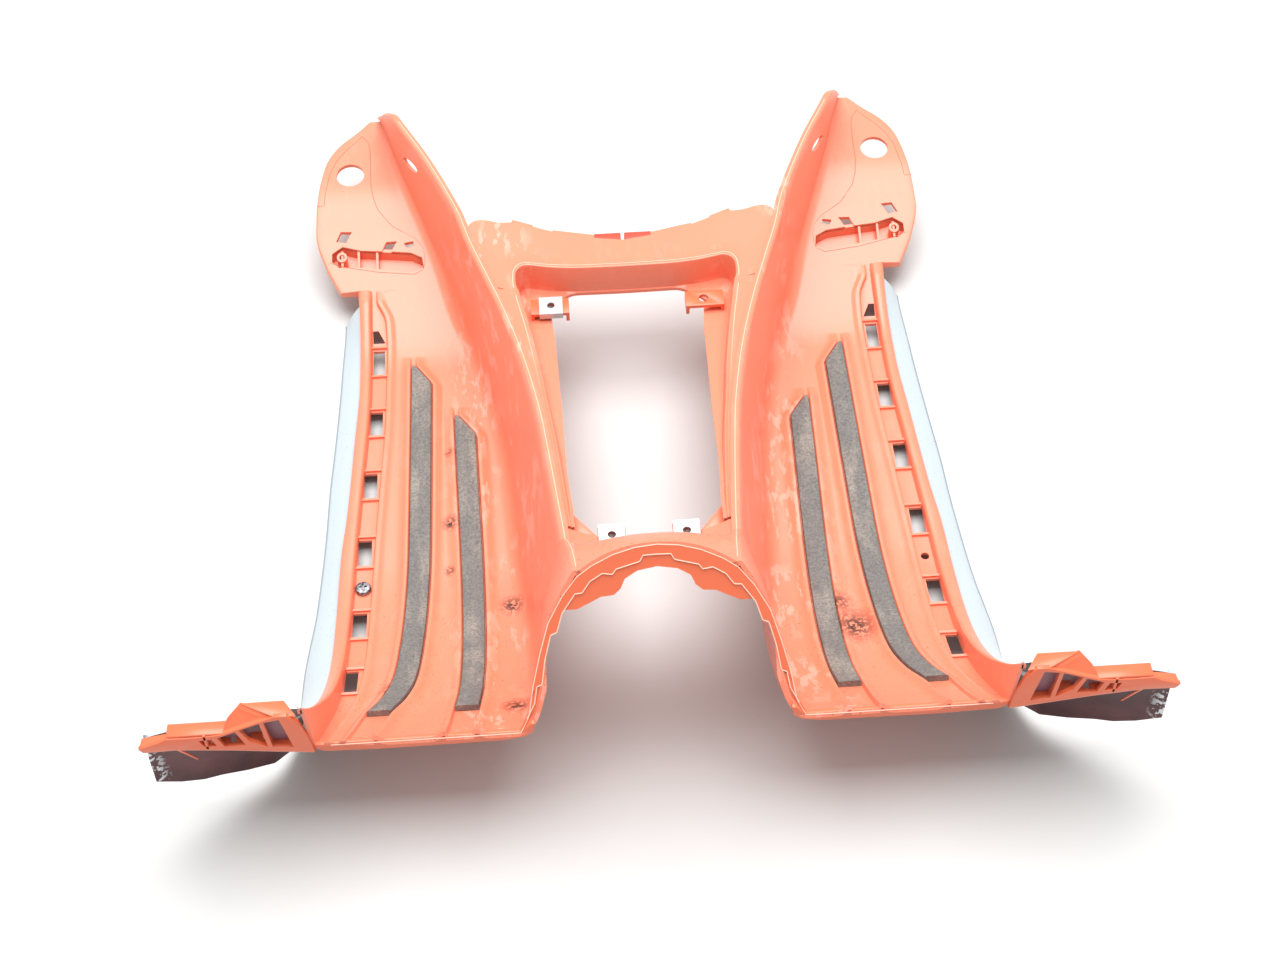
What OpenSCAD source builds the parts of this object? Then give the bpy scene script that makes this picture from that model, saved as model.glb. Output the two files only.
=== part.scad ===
// Scooter footboard: one moulded panel with two footwells, a raised centre
// tunnel with an access opening, two rear ears and two front wings.
// Millimetres. X runs across (the plane x = 0 is the middle of the board),
// -Y is the front joint where the footwells climb, +Y the rear ears, Z is up.
// The lower edges of the side skirts stand on z = 0. Places along the board
// are counted from a line 17 mm in front of the middle of its box.

/* [Board] */
// Width over the outer lips of the footwells
board_w = 390; // [350:1:430]
// Length from the front joint to the ear tips
board_l = 537; // [490:1:590]
// Height of the footwell floor above the ground
floor_z = 12; // [10:0.5:20]
// Wall thickness of the moulding
wall_t = 2.6; // [2:0.1:3.2]
// How far the footwells climb at the front joint
front_rise = 77; // [50:1:95]
// How far the ears climb at the rear
ear_rise = 34; // [15:1:45]
// Height of the tunnel ridge above the footwell floor
tunnel_h = 92; // [75:1:105]
// Height of the outer lip above the floor
lip_h = 5; // [4:0.5:7]
// Depth of the recessed shelf below the rim at the rear of the opening
shelf_drop = 22; // [14:1:28]

/* [Rubber strips] */
// Width of a rubber strip
strip_w = 13.4; // [10:0.2:15]
// How far a rubber strip stands over the floor
strip_top = 4.2; // [3.6:0.1:6]
// Height of the raised rims beside a strip
rim_h = 3; // [2:0.1:3.4]
// Play between a strip and its groove, per side
strip_play = 0.35; // [0.2:0.05:0.6]

/* [Holes] */
// Length of the rectangular holes in the outer channel
window_l = 20; // [14:0.5:24]
// Diameter of the round hole in each ear
ear_hole_d = 20; // [14:0.5:24]
// Diameter of the fixing holes in the four lugs
lug_hole_d = 6.5; // [5:0.1:8]
// Diameter of the fixing hole in the outer channel
channel_hole_d = 5.5; // [4.5:0.1:6]

/* [Fasteners] */
// Width of a clip nut
clip_w = 15.5; // [13:0.5:17]
// Length of a clip nut
clip_l = 15; // [13:0.5:17]
// Sheet thickness of a clip nut
clip_t = 1; // [0.8:0.1:1.2]
// Thread bore of a clip nut
clip_bore_d = 5; // [4:0.1:6]
// Head diameter of the channel screw
screw_head_d = 10; // [8.5:0.1:11]
// Shank diameter of the channel screw
screw_shank_d = 4.8; // [3.5:0.1:5]

/* [Hidden] */
kx = board_w / 390;
ky = board_l / 537;
kt = tunnel_h / 92;
mid_v = 17;
orange = [0.93, 0.36, 0.22];
pale = [0.93, 0.94, 0.95];
grey = [0.32, 0.31, 0.32];
zinc = [0.78, 0.79, 0.81];

// Smooth curve through a table of [place, value] pairs.
function slot_of(t, v, i = 0) =
    (i >= len(t) - 2 || v < t[i + 1][0]) ? i : slot_of(t, v, i + 1);
function chord(t, i) =
    (t[i + 1][1] - t[i][1]) / (t[i + 1][0] - t[i][0]);
function lean_of(t, i) =
    i <= 0 ? chord(t, 0)
    : i >= len(t) - 1 ? chord(t, len(t) - 2)
    : (chord(t, i - 1) * chord(t, i) <= 0) ? 0
    : (t[i + 1][1] - t[i - 1][1]) / (t[i + 1][0] - t[i - 1][0]);
function hermite(a, b, ma, mb, w, u) =
    a * (2 * u * u * u - 3 * u * u + 1) + b * (3 * u * u - 2 * u * u * u)
    + w * (ma * (u * u * u - 2 * u * u + u) + mb * (u * u * u - u * u));
function curve_at(t, v) =
    v <= t[0][0] ? t[0][1]
    : v >= t[len(t) - 1][0] ? t[len(t) - 1][1]
    : let (i = slot_of(t, v), w = t[i + 1][0] - t[i][0])
      hermite(t[i][1], t[i + 1][1], lean_of(t, i), lean_of(t, i + 1),
              w, (v - t[i][0]) / w);
function smooth(u) = let (c = min(max(u, 0), 1)) c * c * (3 - 2 * c);

// Driving curves of the moulding, as places along the board.
ridge_x_tab = [[-250, 47], [-200, 50], [-150, 52.5], [-110, 56], [-69, 60],
    [-35, 64], [13, 73], [58, 85], [92, 96], [120, 105.5], [150, 114],
    [198, 134.5], [240, 156], [262, 164.5], [287, 170.5]];
ridge_z_tab = [[-250, 160], [-225, 150], [-200, 139], [-175, 129], [-150, 119],
    [-110, 107], [-69, 99], [-35, 95.5], [13, 91.5], [58, 88], [92, 86.5],
    [150, 86.5], [198, 89], [238, 90], [252, 82], [262, 71], [287, 46]];
foot_x_tab = [[-250, 80], [-205, 79], [-156, 80], [-113, 84], [-73, 87],
    [-33, 89.5], [9, 93.5], [54, 102], [97, 112.5], [121, 121], [154, 131],
    [187, 143], [240, 161], [287, 172.5]];
edge_x_tab = [[-250, 199], [-220, 197], [-180, 196], [-120, 195.5],
    [-75, 194.3], [-40, 191], [20, 187.3], [70, 184.6], [130, 184.8],
    [145, 186]];
ear_x_tab = [[145, 198], [165, 208], [189, 214.5], [220, 213], [247, 208],
    [258, 203], [267, 196], [276, 186], [287, 175.5]];
lip_tab = [[-250, 41], [-235, 32], [-210, 21], [-180, 12], [-150, 7.5],
    [-116, 5.6], [-80, 5], [130, 5], [145, 2]];
inner_c_tab = [[-250, 114], [-215, 112], [-190, 110], [-150, 109.3],
    [-70, 110.4], [-12, 112.1], [38, 113.4]];
middle_c_tab = [[-250, 170], [-225, 166], [-215, 163.5], [-200, 156.5],
    [-180, 150.8], [-150, 147.6], [-110, 145], [-70, 143.6], [84, 142.2]];
bed_a_tab = [[-250, 190], [-225, 186.5], [-200, 180.5], [-170, 176.8],
    [-120, 175], [-70, 173.2], [-12, 170], [50, 167], [122, 167.2],
    [136, 173]];
bed_b_tab = [[-250, 194.5], [-225, 192.6], [-200, 189], [-170, 187],
    [-120, 185.5], [-70, 183.6], [-12, 180.2], [50, 176.6], [122, 176.2],
    [136, 176]];

// Height of the footwell floor; it climbs to the front and to the ears.
function floor_at(v) =
    let (s = max(0, -80 - v), r = max(0, v - 80))
    floor_z + front_rise / 73.9 * (0.0017515 * s * s
                                   + 0.00000002763 * pow(s, 4))
    + ear_rise * smooth(r / 150) + max(0, v - 200) * 0.1;
function ridge_at(v) = floor_z + kt * curve_at(ridge_z_tab, v);
function board_lean(v) = v > -150 ? 0 : 0.6 * (-150 - v) / 100;
// A point of the board from its place along, across and its height.
function put(v, x, z) =
    [x * kx,
     ky * (v + (x > 172 ? 0 : board_lean(v)) * (z - floor_at(v))), z];

inner_tip = 38;
middle_tip = 84;
strip_end = -215;
channel_tip = 136;
ear_start = 145;
function fade(v, tip) = v > tip + 9 ? 0 : v > tip ? (tip + 9 - v) / 9 : 1;
// Inner side of a strip; it runs over to the outer side at the pointed tip.
function strip_in(v, c, tip) =
    let (k = min(max((v - (tip - 17)) / 17, 0), 1))
    c - strip_w / 2 + strip_w * k * 0.86;
function strip_out(v, c, tip) = c + strip_w / 2;

function unit2(a) = a / max(norm(a), 0.001);
// Cross-section of one half: upper points from the ridge to the outer lip.
function upper(v) =
    let (xr = curve_at(ridge_x_tab, v), zr = ridge_at(v),
         xf = curve_at(foot_x_tab, v), zf = floor_at(v),
         cx = xf - 6, run = unit2([cx - xr, zf - zr]),
         span = max(norm([cx - xr, zf - zr]), 0.5),
         pull = min(0.45 * span, 15), belly = 6 * smooth((-120 - v) / 130),
         a = [cx, zf] - run * pull,
         i1 = strip_in(v, curve_at(inner_c_tab, v), inner_tip),
         o1 = strip_out(v, curve_at(inner_c_tab, v), inner_tip),
         i2 = strip_in(v, curve_at(middle_c_tab, v), middle_tip),
         o2 = strip_out(v, curve_at(middle_c_tab, v), middle_tip),
         f1 = fade(v, inner_tip) * rim_h, f2 = fade(v, middle_tip) * rim_h,
         fc = fade(v, channel_tip),
         ba = curve_at(bed_a_tab, v), bb = curve_at(bed_b_tab, v),
         lip = curve_at(lip_tab, v) * lip_h / 5,
         ear = v > ear_start ? 1 : 0,
         xe = curve_at(v > ear_start ? ear_x_tab : edge_x_tab, v),
         wd = xe - xf - 2,
         ea = xf + 2 + min(7, 0.3 * wd), eb = xe - min(5, 0.3 * wd),
         last = ear == 1 ? ea : ba - 7,
         w = smooth((v - 86) / 24),
         even = function (x, k) x * (1 - w)
             + (xf + 2 + (last - xf - 2) * k / 17) * w,
         g = strip_play)
    [[xr - 6 * min(1, span / 40), zr - 0.8], [xr - 2.5 * min(1, span / 40), zr],
     [xr, zr - 1.6],
     let (p = [xr, zr - 1.6] * 0.62 + a * 0.38) p + [belly, belly * 0.3],
     let (p = [xr, zr - 1.6] * 0.25 + a * 0.75) p + [belly * 0.7, 0],
     a, let (u = 0.35) a * (1 - u) * (1 - u) + 2 * u * (1 - u) * [cx, zf]
        + u * u * [xf + 2, zf],
     let (u = 0.7) a * (1 - u) * (1 - u) + 2 * u * (1 - u) * [cx, zf]
        + u * u * [xf + 2, zf],
     [xf + 2, zf],
     [even(max(xf + 2.4, i1 - 8), 1), zf], [even(i1 - 3.4, 2), zf + f1],
     [even(i1 - 1.2, 3), zf + f1], [even(i1 - g, 4), zf + 0.2 * f1 / 3],
     [even(o1 + g, 5), zf + 0.2 * f1 / 3], [even(o1 + 1.2, 6), zf + f1],
     [even(o1 + 3, 7), zf + f1], [even(o1 + 7.2, 8), zf],
     [even(i2 - 7.2, 9), zf], [even(i2 - 3, 10), zf + f2],
     [even(i2 - 1.2, 11), zf + f2], [even(i2 - g, 12), zf + 0.2 * f2 / 3],
     [even(o2 + g, 13), zf + 0.2 * f2 / 3], [even(o2 + 1.2, 14), zf + f2],
     [even(o2 + 3.2, 15), zf + f2],
     [even(min(o2 + 6.6, ba - 7.6), 16), zf],
     [last, zf],
     ear == 1 ? [ea + 0.04 * (eb - ea), zf - 1.1] : [ba - 3.4, zf + 2 * fc],
     ear == 1 ? [ea + 0.1 * (eb - ea), zf - 1.1] : [ba - 0.6, zf + 2 * fc],
     ear == 1 ? [ea + 0.4 * (eb - ea), zf - 1.1] : [ba, zf - 1 * fc],
     ear == 1 ? [ea + 0.7 * (eb - ea), zf - 1.1] : [bb, zf - 1 * fc],
     ear == 1 ? [ea + 0.97 * (eb - ea), zf - 1.1] : [bb + 1, zf + lip - 1],
     ear == 1 ? [eb, zf - 2] : [min(bb + 3.4, xe - 2.6), zf + lip],
     ear == 1 ? [xe - 0.12 * (xe - eb), zf - 2] : [xe - 1.6, zf + lip - 0.6],
     ear == 1 ? [xe, zf - 2.8] : [xe, zf + lip - 2.4],
     ear == 1 ? [xe, zf - 4.6] : [xe, zf + lip - 6.4]];
// Lower points of the same section, one wall thickness inside.
function lower(v) =
    let (u = upper(v), t = wall_t, zf = floor_at(v), ear = v > ear_start,
         run = unit2([u[5][0] - u[2][0], u[5][1] - u[2][1]]),
         n = [run[1], -run[0]] * t)
    [u[0] + [0.4, -t], u[1] + [-0.2, -t - 0.3],
     u[2] + [n[0], n[1] - 0.6],
     u[3] + n, u[4] + n, u[5] + n,
     u[6] + unit2(n + [0, -t] * 0.55) * t, u[7] + [-0.4, -t], u[8] + [0, -t],
     u[9] + [0, -t], [u[16][0], zf - t], [u[17][0], zf - t],
     [u[24][0], zf - t],
     ear ? [u[25][0], zf - t - 0.6] : [u[27][0], u[28][1] - t],
     ear ? [u[27][0], zf - t - 1.4] : [u[29][0] + 1.2, u[29][1] - t],
     ear ? [u[29][0], zf - t - 1.4] : [u[30][0] + t * 0.8, u[30][1] - t],
     ear ? [u[30][0], zf - t - 1.4] : [u[33][0] - t, u[32][1] - t - 0.4],
     ear ? [u[31][0] * 0.7 + u[34][0] * 0.3, zf - t - 2]
         : [u[34][0] - t, u[34][1]]];
// Which lower point each upper point closes onto.
pair_of = [0, 1, 2, 3, 4, 5, 6, 7, 8, 9, 9, 9, 9, 10, 10, 10, 10, 11, 11, 11,
           11, 12, 12, 12, 12, 13, 13, 13, 13, 14, 14, 15, 16, 16, 17];

stations = [-250, -239, -227, -215, -202, -188, -172, -153, -131, -108, -78,
    -40, 0, 21, 38, 47.5, 67, 84, 93, 108, 122, 136, 144.8, 145.2, 157, 172,
    188, 206, 224, 240, 252, 262, 272, 286];

function ring(v) =
    concat([for (p = upper(v)) put(v, p[0], p[1])],
           [for (i = [len(lower(v)) - 1:-1:0])
               put(v, lower(v)[i][0], lower(v)[i][1])]);
// Solid through a row of closed rings with the same number of points.
module skin(loops, caps, turn = false) {
    rings = turn ? [for (i = [len(loops) - 1:-1:0]) loops[i]] : loops;
    n = len(rings[0]);
    m = len(rings);
    pts = [for (r = rings) each r];
    sides = [for (j = [0:m - 2]) for (i = [0:n - 1])
        let (k = (i + 1) % n, a = j * n + i, b = j * n + k,
             c = (j + 1) * n + k, d = (j + 1) * n + i)
        each [[a, b, d], [b, c, d]]];
    ends = [for (f = caps) f];
    tail = [for (f = caps) [for (q = [2:-1:0]) f[q] + (m - 1) * n]];
    polyhedron(points = pts, faces = concat(sides, ends, tail));
}
half_up = len(upper(0));
half_n = half_up + len(lower(0));
half_caps = [for (i = [0:half_up - 2])
    let (a = half_n - 1 - pair_of[i], b = half_n - 1 - pair_of[i + 1])
    each (a == b ? [[i + 1, i, a]] : [[i + 1, i, a], [i + 1, a, b]])];
module board_half() {
    skin([for (v = stations) ring(v)], half_caps, true);
}

// Top of the tunnel: rim, recessed wall and shelf around the opening.
rim_tab = [[-136, 45.5], [-110, 47.2], [-82, 49.5], [-58, 51.6], [-24, 55.8],
    [2, 58.8], [43, 65], [75, 71], [86, 72.6]];
function shelf_at(v) =
    let (top = ridge_at(v) - 3.4)
    top - 1.2 - (shelf_drop - 1.2) * smooth((v + 150) / 250 * 0.98);
open_tab = [[-120, 43.6], [-100, 45], [-77, 46.2], [-27, 47], [10, 48],
    [45, 49], [86, 52]];
function side_ring(v) =
    let (xr = curve_at(ridge_x_tab, v), zr = ridge_at(v),
         xm = curve_at(rim_tab, v), zm = zr - 3.4, zs = shelf_at(v),
         xo = curve_at(open_tab, v), t = wall_t)
    [[xr - 4, zr - 1.4], [(xr + xm) / 2, zr - 2.6], [xm + 0.6, zm],
     [xm - 0.4, zm - 0.8], [xm - 1.2, zs], [xo, zs - 0.4],
     [xo, zs - t - 0.4], [xm + t - 1.2, zs - t], [xm + t - 0.2, zm - 0.6 - t],
     [(xr + xm) / 2 + 1, zr - 2.6 - t], [xr - 4, zr - 1.6 - t]];
ring_caps = concat([[5, 4, 6]], [for (i = [0:3])
    each [[i + 1, i, 10 - i], [i + 1, 10 - i, 9 - i]]]);

// The rear deck bends round the two far corners of the opening.
far_tab = [
    // rim x, rim y, outer x, outer y, shelf reach x, shelf reach y
    [0, 91.4, 0, 117.6, 0, 89.8], [17, 91.6, 18, 120.4, 17, 90],
    [33, 92, 36, 124, 33, 90.2], [48, 93.6, 55, 130.6, 46, 84],
    [58, 95.6, 68, 136, 51, 80], [65.4, 97, 82, 141.5, 53, 77],
    [70.4, 94.6, 96, 148, 54, 75], [72.6, 88.6, 105.5, 139, 54, 73],
    [72.4, 80.6, 96, 101, 53.5, 70], [70.8, 74, 88, 78, 53, 68]];
function far_ring(q) =
    let (r = far_tab[q], zr = ridge_at(r[1]), k = smooth(q / 7),
         zo = (q >= 7 ? ridge_at(r[3]) - 1.6 : ridge_at(148) - 5.5 + 4 * k),
         zm = zr - 3.4, zs = shelf_at(r[1]), t = wall_t,
         d = unit2([r[2] - r[0], r[3] - r[1]]),
         e = unit2([r[4] - r[0], r[5] - r[1]]))
    [[r[2], r[3], zo],
     [(r[0] + r[2]) / 2, (r[1] + r[3]) / 2, (zo + zm) / 2 - 0.6],
     [r[0] + d[0] * 1.4, r[1] + d[1] * 1.4, zm],
     [r[0], r[1], zm - 0.9],
     [r[0] + e[0] * 0.9, r[1] + e[1] * 0.9, zs],
     [r[4], r[5], zs - 0.4],
     [r[4], r[5], zs - t - 0.4],
     [r[0] + d[0] * t, r[1] + d[1] * t, zs - t],
     [r[0] + d[0] * t, r[1] + d[1] * t, zm - 0.6 - t],
     [(r[0] + r[2]) / 2, (r[1] + r[3]) / 2, (zo + zm) / 2 - 0.6 - t],
     [r[2], r[3], zo - t]];
module mirrored() {
    children();
    mirror([1, 0, 0]) children();
}
module rear_deck() {
    half = [for (q = [0:len(far_tab) - 1])
        [for (p = far_ring(q)) [p[0] * kx, p[1] * ky, p[2]]]];
    other = [for (q = [len(half) - 1:-1:1])
        [for (p = half[q]) [-p[0], p[1], p[2]]]];
    skin(concat(other, half), ring_caps, true);
}
module side_shoulder() {
    skin([for (v = [-136, -118, -96, -70, -40, -8, 24, 52, 76])
        [for (p = side_ring(v)) put(v, p[0], p[1])]], ring_caps);
}
// Front deck: from the front end of the opening up to the arch lip.
crown_tab = [[-250, 172], [-225, 158], [-200, 141], [-175, 122], [-150, 103],
    [-136, 96.5]];
function deck_up(v) =
    let (xr = curve_at(ridge_x_tab, v), zr = ridge_at(v),
         zc = floor_z + kt * curve_at(crown_tab, v))
    [for (w = [-1, -0.8, -0.55, -0.28, 0, 0.28, 0.55, 0.8, 1])
        [w * (xr - 3), zr - 1.4 + (zc - zr + 1.4) * (1 - pow(abs(w), 2.3))]];
deck_caps = [for (i = [0:7]) each [[i + 1, i, 17 - i], [i + 1, 17 - i, 16 - i]]];
module front_deck() {
    skin([for (v = [-250, -238, -225, -212, -200, -188, -175, -162, -150, -138])
        let (u = deck_up(v), t = wall_t * (1 + 0.5 * smooth((-140 - v) / 60)))
        concat([for (p = u) put(v, p[0], p[1])],
               [for (i = [len(u) - 1:-1:0]) put(v, u[i][0], u[i][1] - t)])],
        deck_caps, true);
}

// Bent edge of the front joint: an arch flange round the tunnel end and a
// short flange hanging from the footwells, both in the leaning joint plane.
arch_out = [[0, 181.6], [12, 180.8], [24, 177.6], [36, 172], [43.5, 167.6],
    [52, 157.6], [60, 144.6], [65.6, 128.6], [70.6, 111.6], [74, 97],
    [80, 88]];
arch_in = [[72, 98], [70, 104], [67.5, 112], [64.5, 122], [60.5, 137],
    [55, 150.4], [52, 151.9], [45, 151.7], [37.5, 154.8], [31.5, 157.5],
    [24.4, 158], [20.5, 161], [18, 166], [11, 169.8], [0, 171.5]];
module joint_plate(outline, t) {
    multmatrix([[kx, 0, 0, 0], [0, 0, -ky, (t - 250.3) * ky], [0, 1, 0, 0]])
        linear_extrude(t)
            polygon(outline);
}
module leaning() {
    z0 = floor_at(-250);
    multmatrix([[1, 0, 0, 0], [0, 1, 0.6 * ky, -0.6 * ky * z0], [0, 0, 1, 0]])
        children();
}
function lift(z) = z > 92 ? floor_z + kt * (z - 12) : z + floor_at(-250) - 88.8;
function lifted(t) = [for (p = t) [p[0], lift(p[1])]];
module arch_flange() {
    leaning() joint_plate(lifted(concat(
        arch_out, [for (p = arch_in) p],
        [for (i = [len(arch_in) - 2:-1:0]) [-arch_in[i][0], arch_in[i][1]]],
        [for (i = [len(arch_out) - 1:-1:1]) [-arch_out[i][0], arch_out[i][1]]]
        )), 3.2);
}
foot_flange_pts = [[74, 97], [71.6, 97], [73, 88], [78, 83], [90, 80.4],
    [157, 79.6], [190, 81], [197.6, 86], [197.6, 89], [186, 87.4],
    [80, 87.4]];
module foot_flange() {
    joint_plate(lifted(foot_flange_pts), 3);
}

// Front wings: an open frame in the joint plane with shelves behind it.
wing_outer = [[195, 84], [240, 92], [270, 96], [288, 95], [290, 99],
    [279, 105.5], [273, 113], [262, 111], [250, 112.6], [240, 113.4],
    [235, 131], [229, 135], [202, 133], [196, 129]];
module wing_frame() {
    w = floor_at(-250) - 88.8;
    translate([0, -249.4 * ky, w]) scale([kx, 1, 1]) difference() {
        union() {
            rotate([90, 0, 0]) linear_extrude(2.6) polygon(wing_outer);
            // shelf along the top, rearward
            translate([200, -1, 130.4]) cube([29, 9, 2.4]);
            translate([239, -1, 109]) cube([34, 8, 2.4]);
            translate([272, -1, 101.5]) cube([16, 6, 2.2]);
            // bottom ledge and two posts
            translate([204, -1, 89]) cube([34, 10, 2.2]);
            translate([240, -1, 93.6]) cube([46, 7, 2.2]);
            translate([237.4, -1, 90]) cube([2.6, 10, 40]);
            translate([256, -1, 94]) cube([2.6, 8, 16]);
        }
        // see-through windows of the frame
        rotate([90, 0, 0]) translate([0, 0, -1.6]) linear_extrude(6) {
            polygon([[203, 126], [203, 104], [216, 96], [229, 97]]);
            polygon([[209, 128], [231, 128.6], [234, 115], [232, 101]]);
            polygon([[242, 98], [254, 99], [254, 107], [242, 107]]);
            polygon([[260.6, 100], [272, 101], [270, 107], [260.6, 106.4]]);
        }
    }
}

// Features at the rear edge of the deck and lugs at the opening.
module rear_tabs() {
    z = ridge_at(148) - 5.5;
    for (w = [-1, 1]) {
        translate([w * 68 * kx, 133.4 * ky, z - 0.4])
            rotate([0, 0, w * 24]) translate([-7.5, -3.4, 0]) cube([15, 8, 2.3]);
        translate([w * 33.5 * kx, 122.6 * ky, z - 1.8])
            rotate([0, 0, w * 13]) translate([-14.5, -3, 0]) cube([29, 7, 2.3]);
        translate([(w > 0 ? 1.5 : -19) * kx, 116 * ky, z - 7.2])
            cube([17.5 * kx, 5.6, 6]);
    }
}
function lug_z() = shelf_at(72) + 6.6;
module rear_lug() {
    translate([50.6 * kx - 12, 72 * ky - 6.4, lug_z() - 7.8]) difference() {
        cube([25.2, 13, 7.8]);
        translate([2.2, -1, -0.1]) cube([20.8, 16, 5.3]);
    }
}
front_lug_z = floor_z + kt * 100;
module front_lug() {
    translate([22 * kx - 8.2, -148.4 * ky, front_lug_z - 2.4])
        cube([16.4, 11.9 * ky + 6.3, 2.4]);
}
module front_lug_relief() {
    translate([22 * kx - 8.7, -146.4 * ky, front_lug_z - 12])
        cube([17.4, 30 * ky, 30]);
}

// Openings along the empty outer channel.
windows = [[100.4, 0], [47.5, 0], [-4.7, 0], [-58.3, 0], [-116, 0],
    [-166, 0]];
module channel_openings() {
    for (h = windows) {
        y = h[0] - window_l / 2;
        a = curve_at(bed_a_tab, y) + 1.2;
        b = curve_at(bed_b_tab, y) - 0.4;
        translate([a * kx, h[0] * ky - window_l, -5])
            cube([(b - a) * kx, window_l, floor_at(y) + 12]);
    }
    scale([kx, ky, 1]) translate([0, 0, 2]) linear_extrude(20)
        polygon([[168.4, 108.6], [175, 108.6], [175.4, 123.6]]);
}

// Ear details: pocket with ribs, slots and a small boss hole.
pocket_pts = [[203.4, 174], [196, 179], [183, 175.4], [160, 173.4],
    [148, 172], [140, 168], [139, 160.5], [148, 157.6], [166, 160.4],
    [185, 163], [199, 163.6], [203.6, 168]];
module pocket_shape(g) {
    scale([kx, ky, 1]) offset(delta = g) polygon(pocket_pts);
}
function ear_slope() = (floor_at(180) - floor_at(158)) / 22 / ky;
module along_ear() {
    multmatrix([[1, 0, 0, 0], [0, 1, 0, 0],
                [0, ear_slope(), 1, floor_at(168) - ear_slope() * 168 * ky]])
        children();
}
module ear_pan() {
    along_ear() translate([0, 0, -11.3]) linear_extrude(10.2) pocket_shape(2.2);
}
module ear_cuts() {
    along_ear() difference() {
        translate([0, 0, -9.1]) linear_extrude(24) pocket_shape(0);
        for (x = [171, 184, 195.6])
            translate([x * kx, 150 * ky, -11.7]) cube([1.8, 30 * ky, 8.8]);
    }
    translate([0, 0, 20]) scale([kx, ky, 1]) linear_extrude(40) {
        polygon([[189.6, 183], [197, 183.6], [197.4, 188.6], [190, 188.2]]);
        polygon([[158.6, 175.6], [166.4, 175.8], [166.6, 180], [158.8, 179.8]]);
        polygon([[147, 176.4], [152.4, 176.6], [152.4, 179.6], [147, 179.4]]);
    }
}

module shell_body() {
    resize([580 * kx, 0, 0]) difference() {
        union() {
            difference() {
                mirrored() {
                    board_half();
                    ear_pan();
                }
                mirrored() {
                    ear_cuts();
                    channel_openings();
                }
            }
            rear_deck();
            difference() {
                front_deck();
                mirrored() front_lug_relief();
            }
            arch_flange();
            rear_tabs();
            mirrored() {
                side_shoulder();
                foot_flange();
                wing_frame();
                rear_lug();
                front_lug();
            }
        }
    }
}
module floor_panel() color(orange) {
    difference() {
        shell_body();
        for (w = [-1, 1]) {
            translate([w * 190 * kx, 237 * ky, floor_z + 5])
                cylinder(d = ear_hole_d, h = 70, $fn = 48);
            translate([w * 50.6 * kx, 72 * ky, lug_z() - 20])
                cylinder(d = lug_hole_d, h = 40, $fn = 32);
            translate([w * 22 * kx, -136.5 * ky, front_lug_z - 20])
                cylinder(d = lug_hole_d, h = 40, $fn = 32);
            translate([w * 179.6 * kx, -97 * ky, 0])
                cylinder(d = channel_hole_d, h = 40, $fn = 32);
        }
    }
}

// Side skirts: pale outer skins from the lip down to the ground.
skirt_x_tab = [[-236, 224], [-218, 219.5], [-200, 217.8], [-155, 216.6],
    [-133, 214], [-110, 210.6], [-80, 208], [-46, 205.8], [-10, 204.4],
    [25, 202], [66, 199.6], [96, 198.4], [130, 197], [143, 197]];
skirt_y_tab = [[-247, -214], [-236, -210], [-215, -199], [-188, -180],
    [-153, -151.5], [-120, -119.6], [143, 143]];
skirt_z_tab = [[-236, 11], [-215, 7], [-200, 4], [-180, 1.6], [-153, 0],
    [143, 0]];
skirt_b_tab = [[-236, 7], [-200, 5], [-172, 3.5], [-133, 2], [-90, 1.2],
    [143, 1]];
wing_rows = [
    // upper edge x, y, z, lower edge x, y, z, bulge
[201.4, -239.4, 124.6, 230, -217.6, 16, 8],
    [216, -239, 128, 244, -226, 25, 8],
    [231, -239, 127, 257, -233, 34, 8],
    [241, -240, 110, 266, -238, 39, 6],
    [264, -240.6, 105, 277, -243, 47, 4],
    [288.4, -242.6, 98, 289.6, -246.9, 56, 1.5]];
function skirt_row(v) =
    let (zt = floor_at(v) + curve_at(lip_tab, v) * lip_h / 5 - 6.5,
         a = put(v, curve_at(edge_x_tab, v), zt),
         b = [curve_at(skirt_x_tab, v) * kx, curve_at(skirt_y_tab, v) * ky,
              curve_at(skirt_z_tab, v)],
         g = curve_at(skirt_b_tab, v),
         m = a * 0.62 + b * 0.38 + [g, -0.1 * g, g * 0.5],
         n = a * 0.28 + b * 0.72 + [g * 0.9, -0.1 * g, 0])
    [a, m, n, b, b - [2, 0, 0], n - [2, 0, 0], m - [2, 0, 0], a - [2, 0, 0]];
function wing_row(r) =
    let (a = [r[0] * kx, r[1] * ky, r[2] + floor_at(-250) - 88.8],
         b = [r[3] * kx, r[4] * ky, r[5]],
         m = a * 0.62 + b * 0.38 + [0.55, 0.8, 0.5] * r[6],
         n = a * 0.28 + b * 0.72 + [0.5, 0.8, 0] * r[6], t = [-0.6, -2, 0])
    [a, m, n, b, b + t, n + t, m + t, a + t];
skirt_caps = [[1, 0, 7], [1, 7, 6], [2, 1, 6], [2, 6, 5], [3, 2, 5],
    [3, 5, 4]];
skirt_places = [for (i = [len(stations) - 1:-1:0])
    if (stations[i] < 137 && stations[i] > -245) stations[i]];
module skirt() color(pale) {
    skin(concat([for (v = skirt_places) skirt_row(v)],
                [for (r = wing_rows) wing_row(r)]), skirt_caps);
}
module left_side_skirt() mirror([1, 0, 0]) skirt();
module right_side_skirt() skirt();

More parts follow.
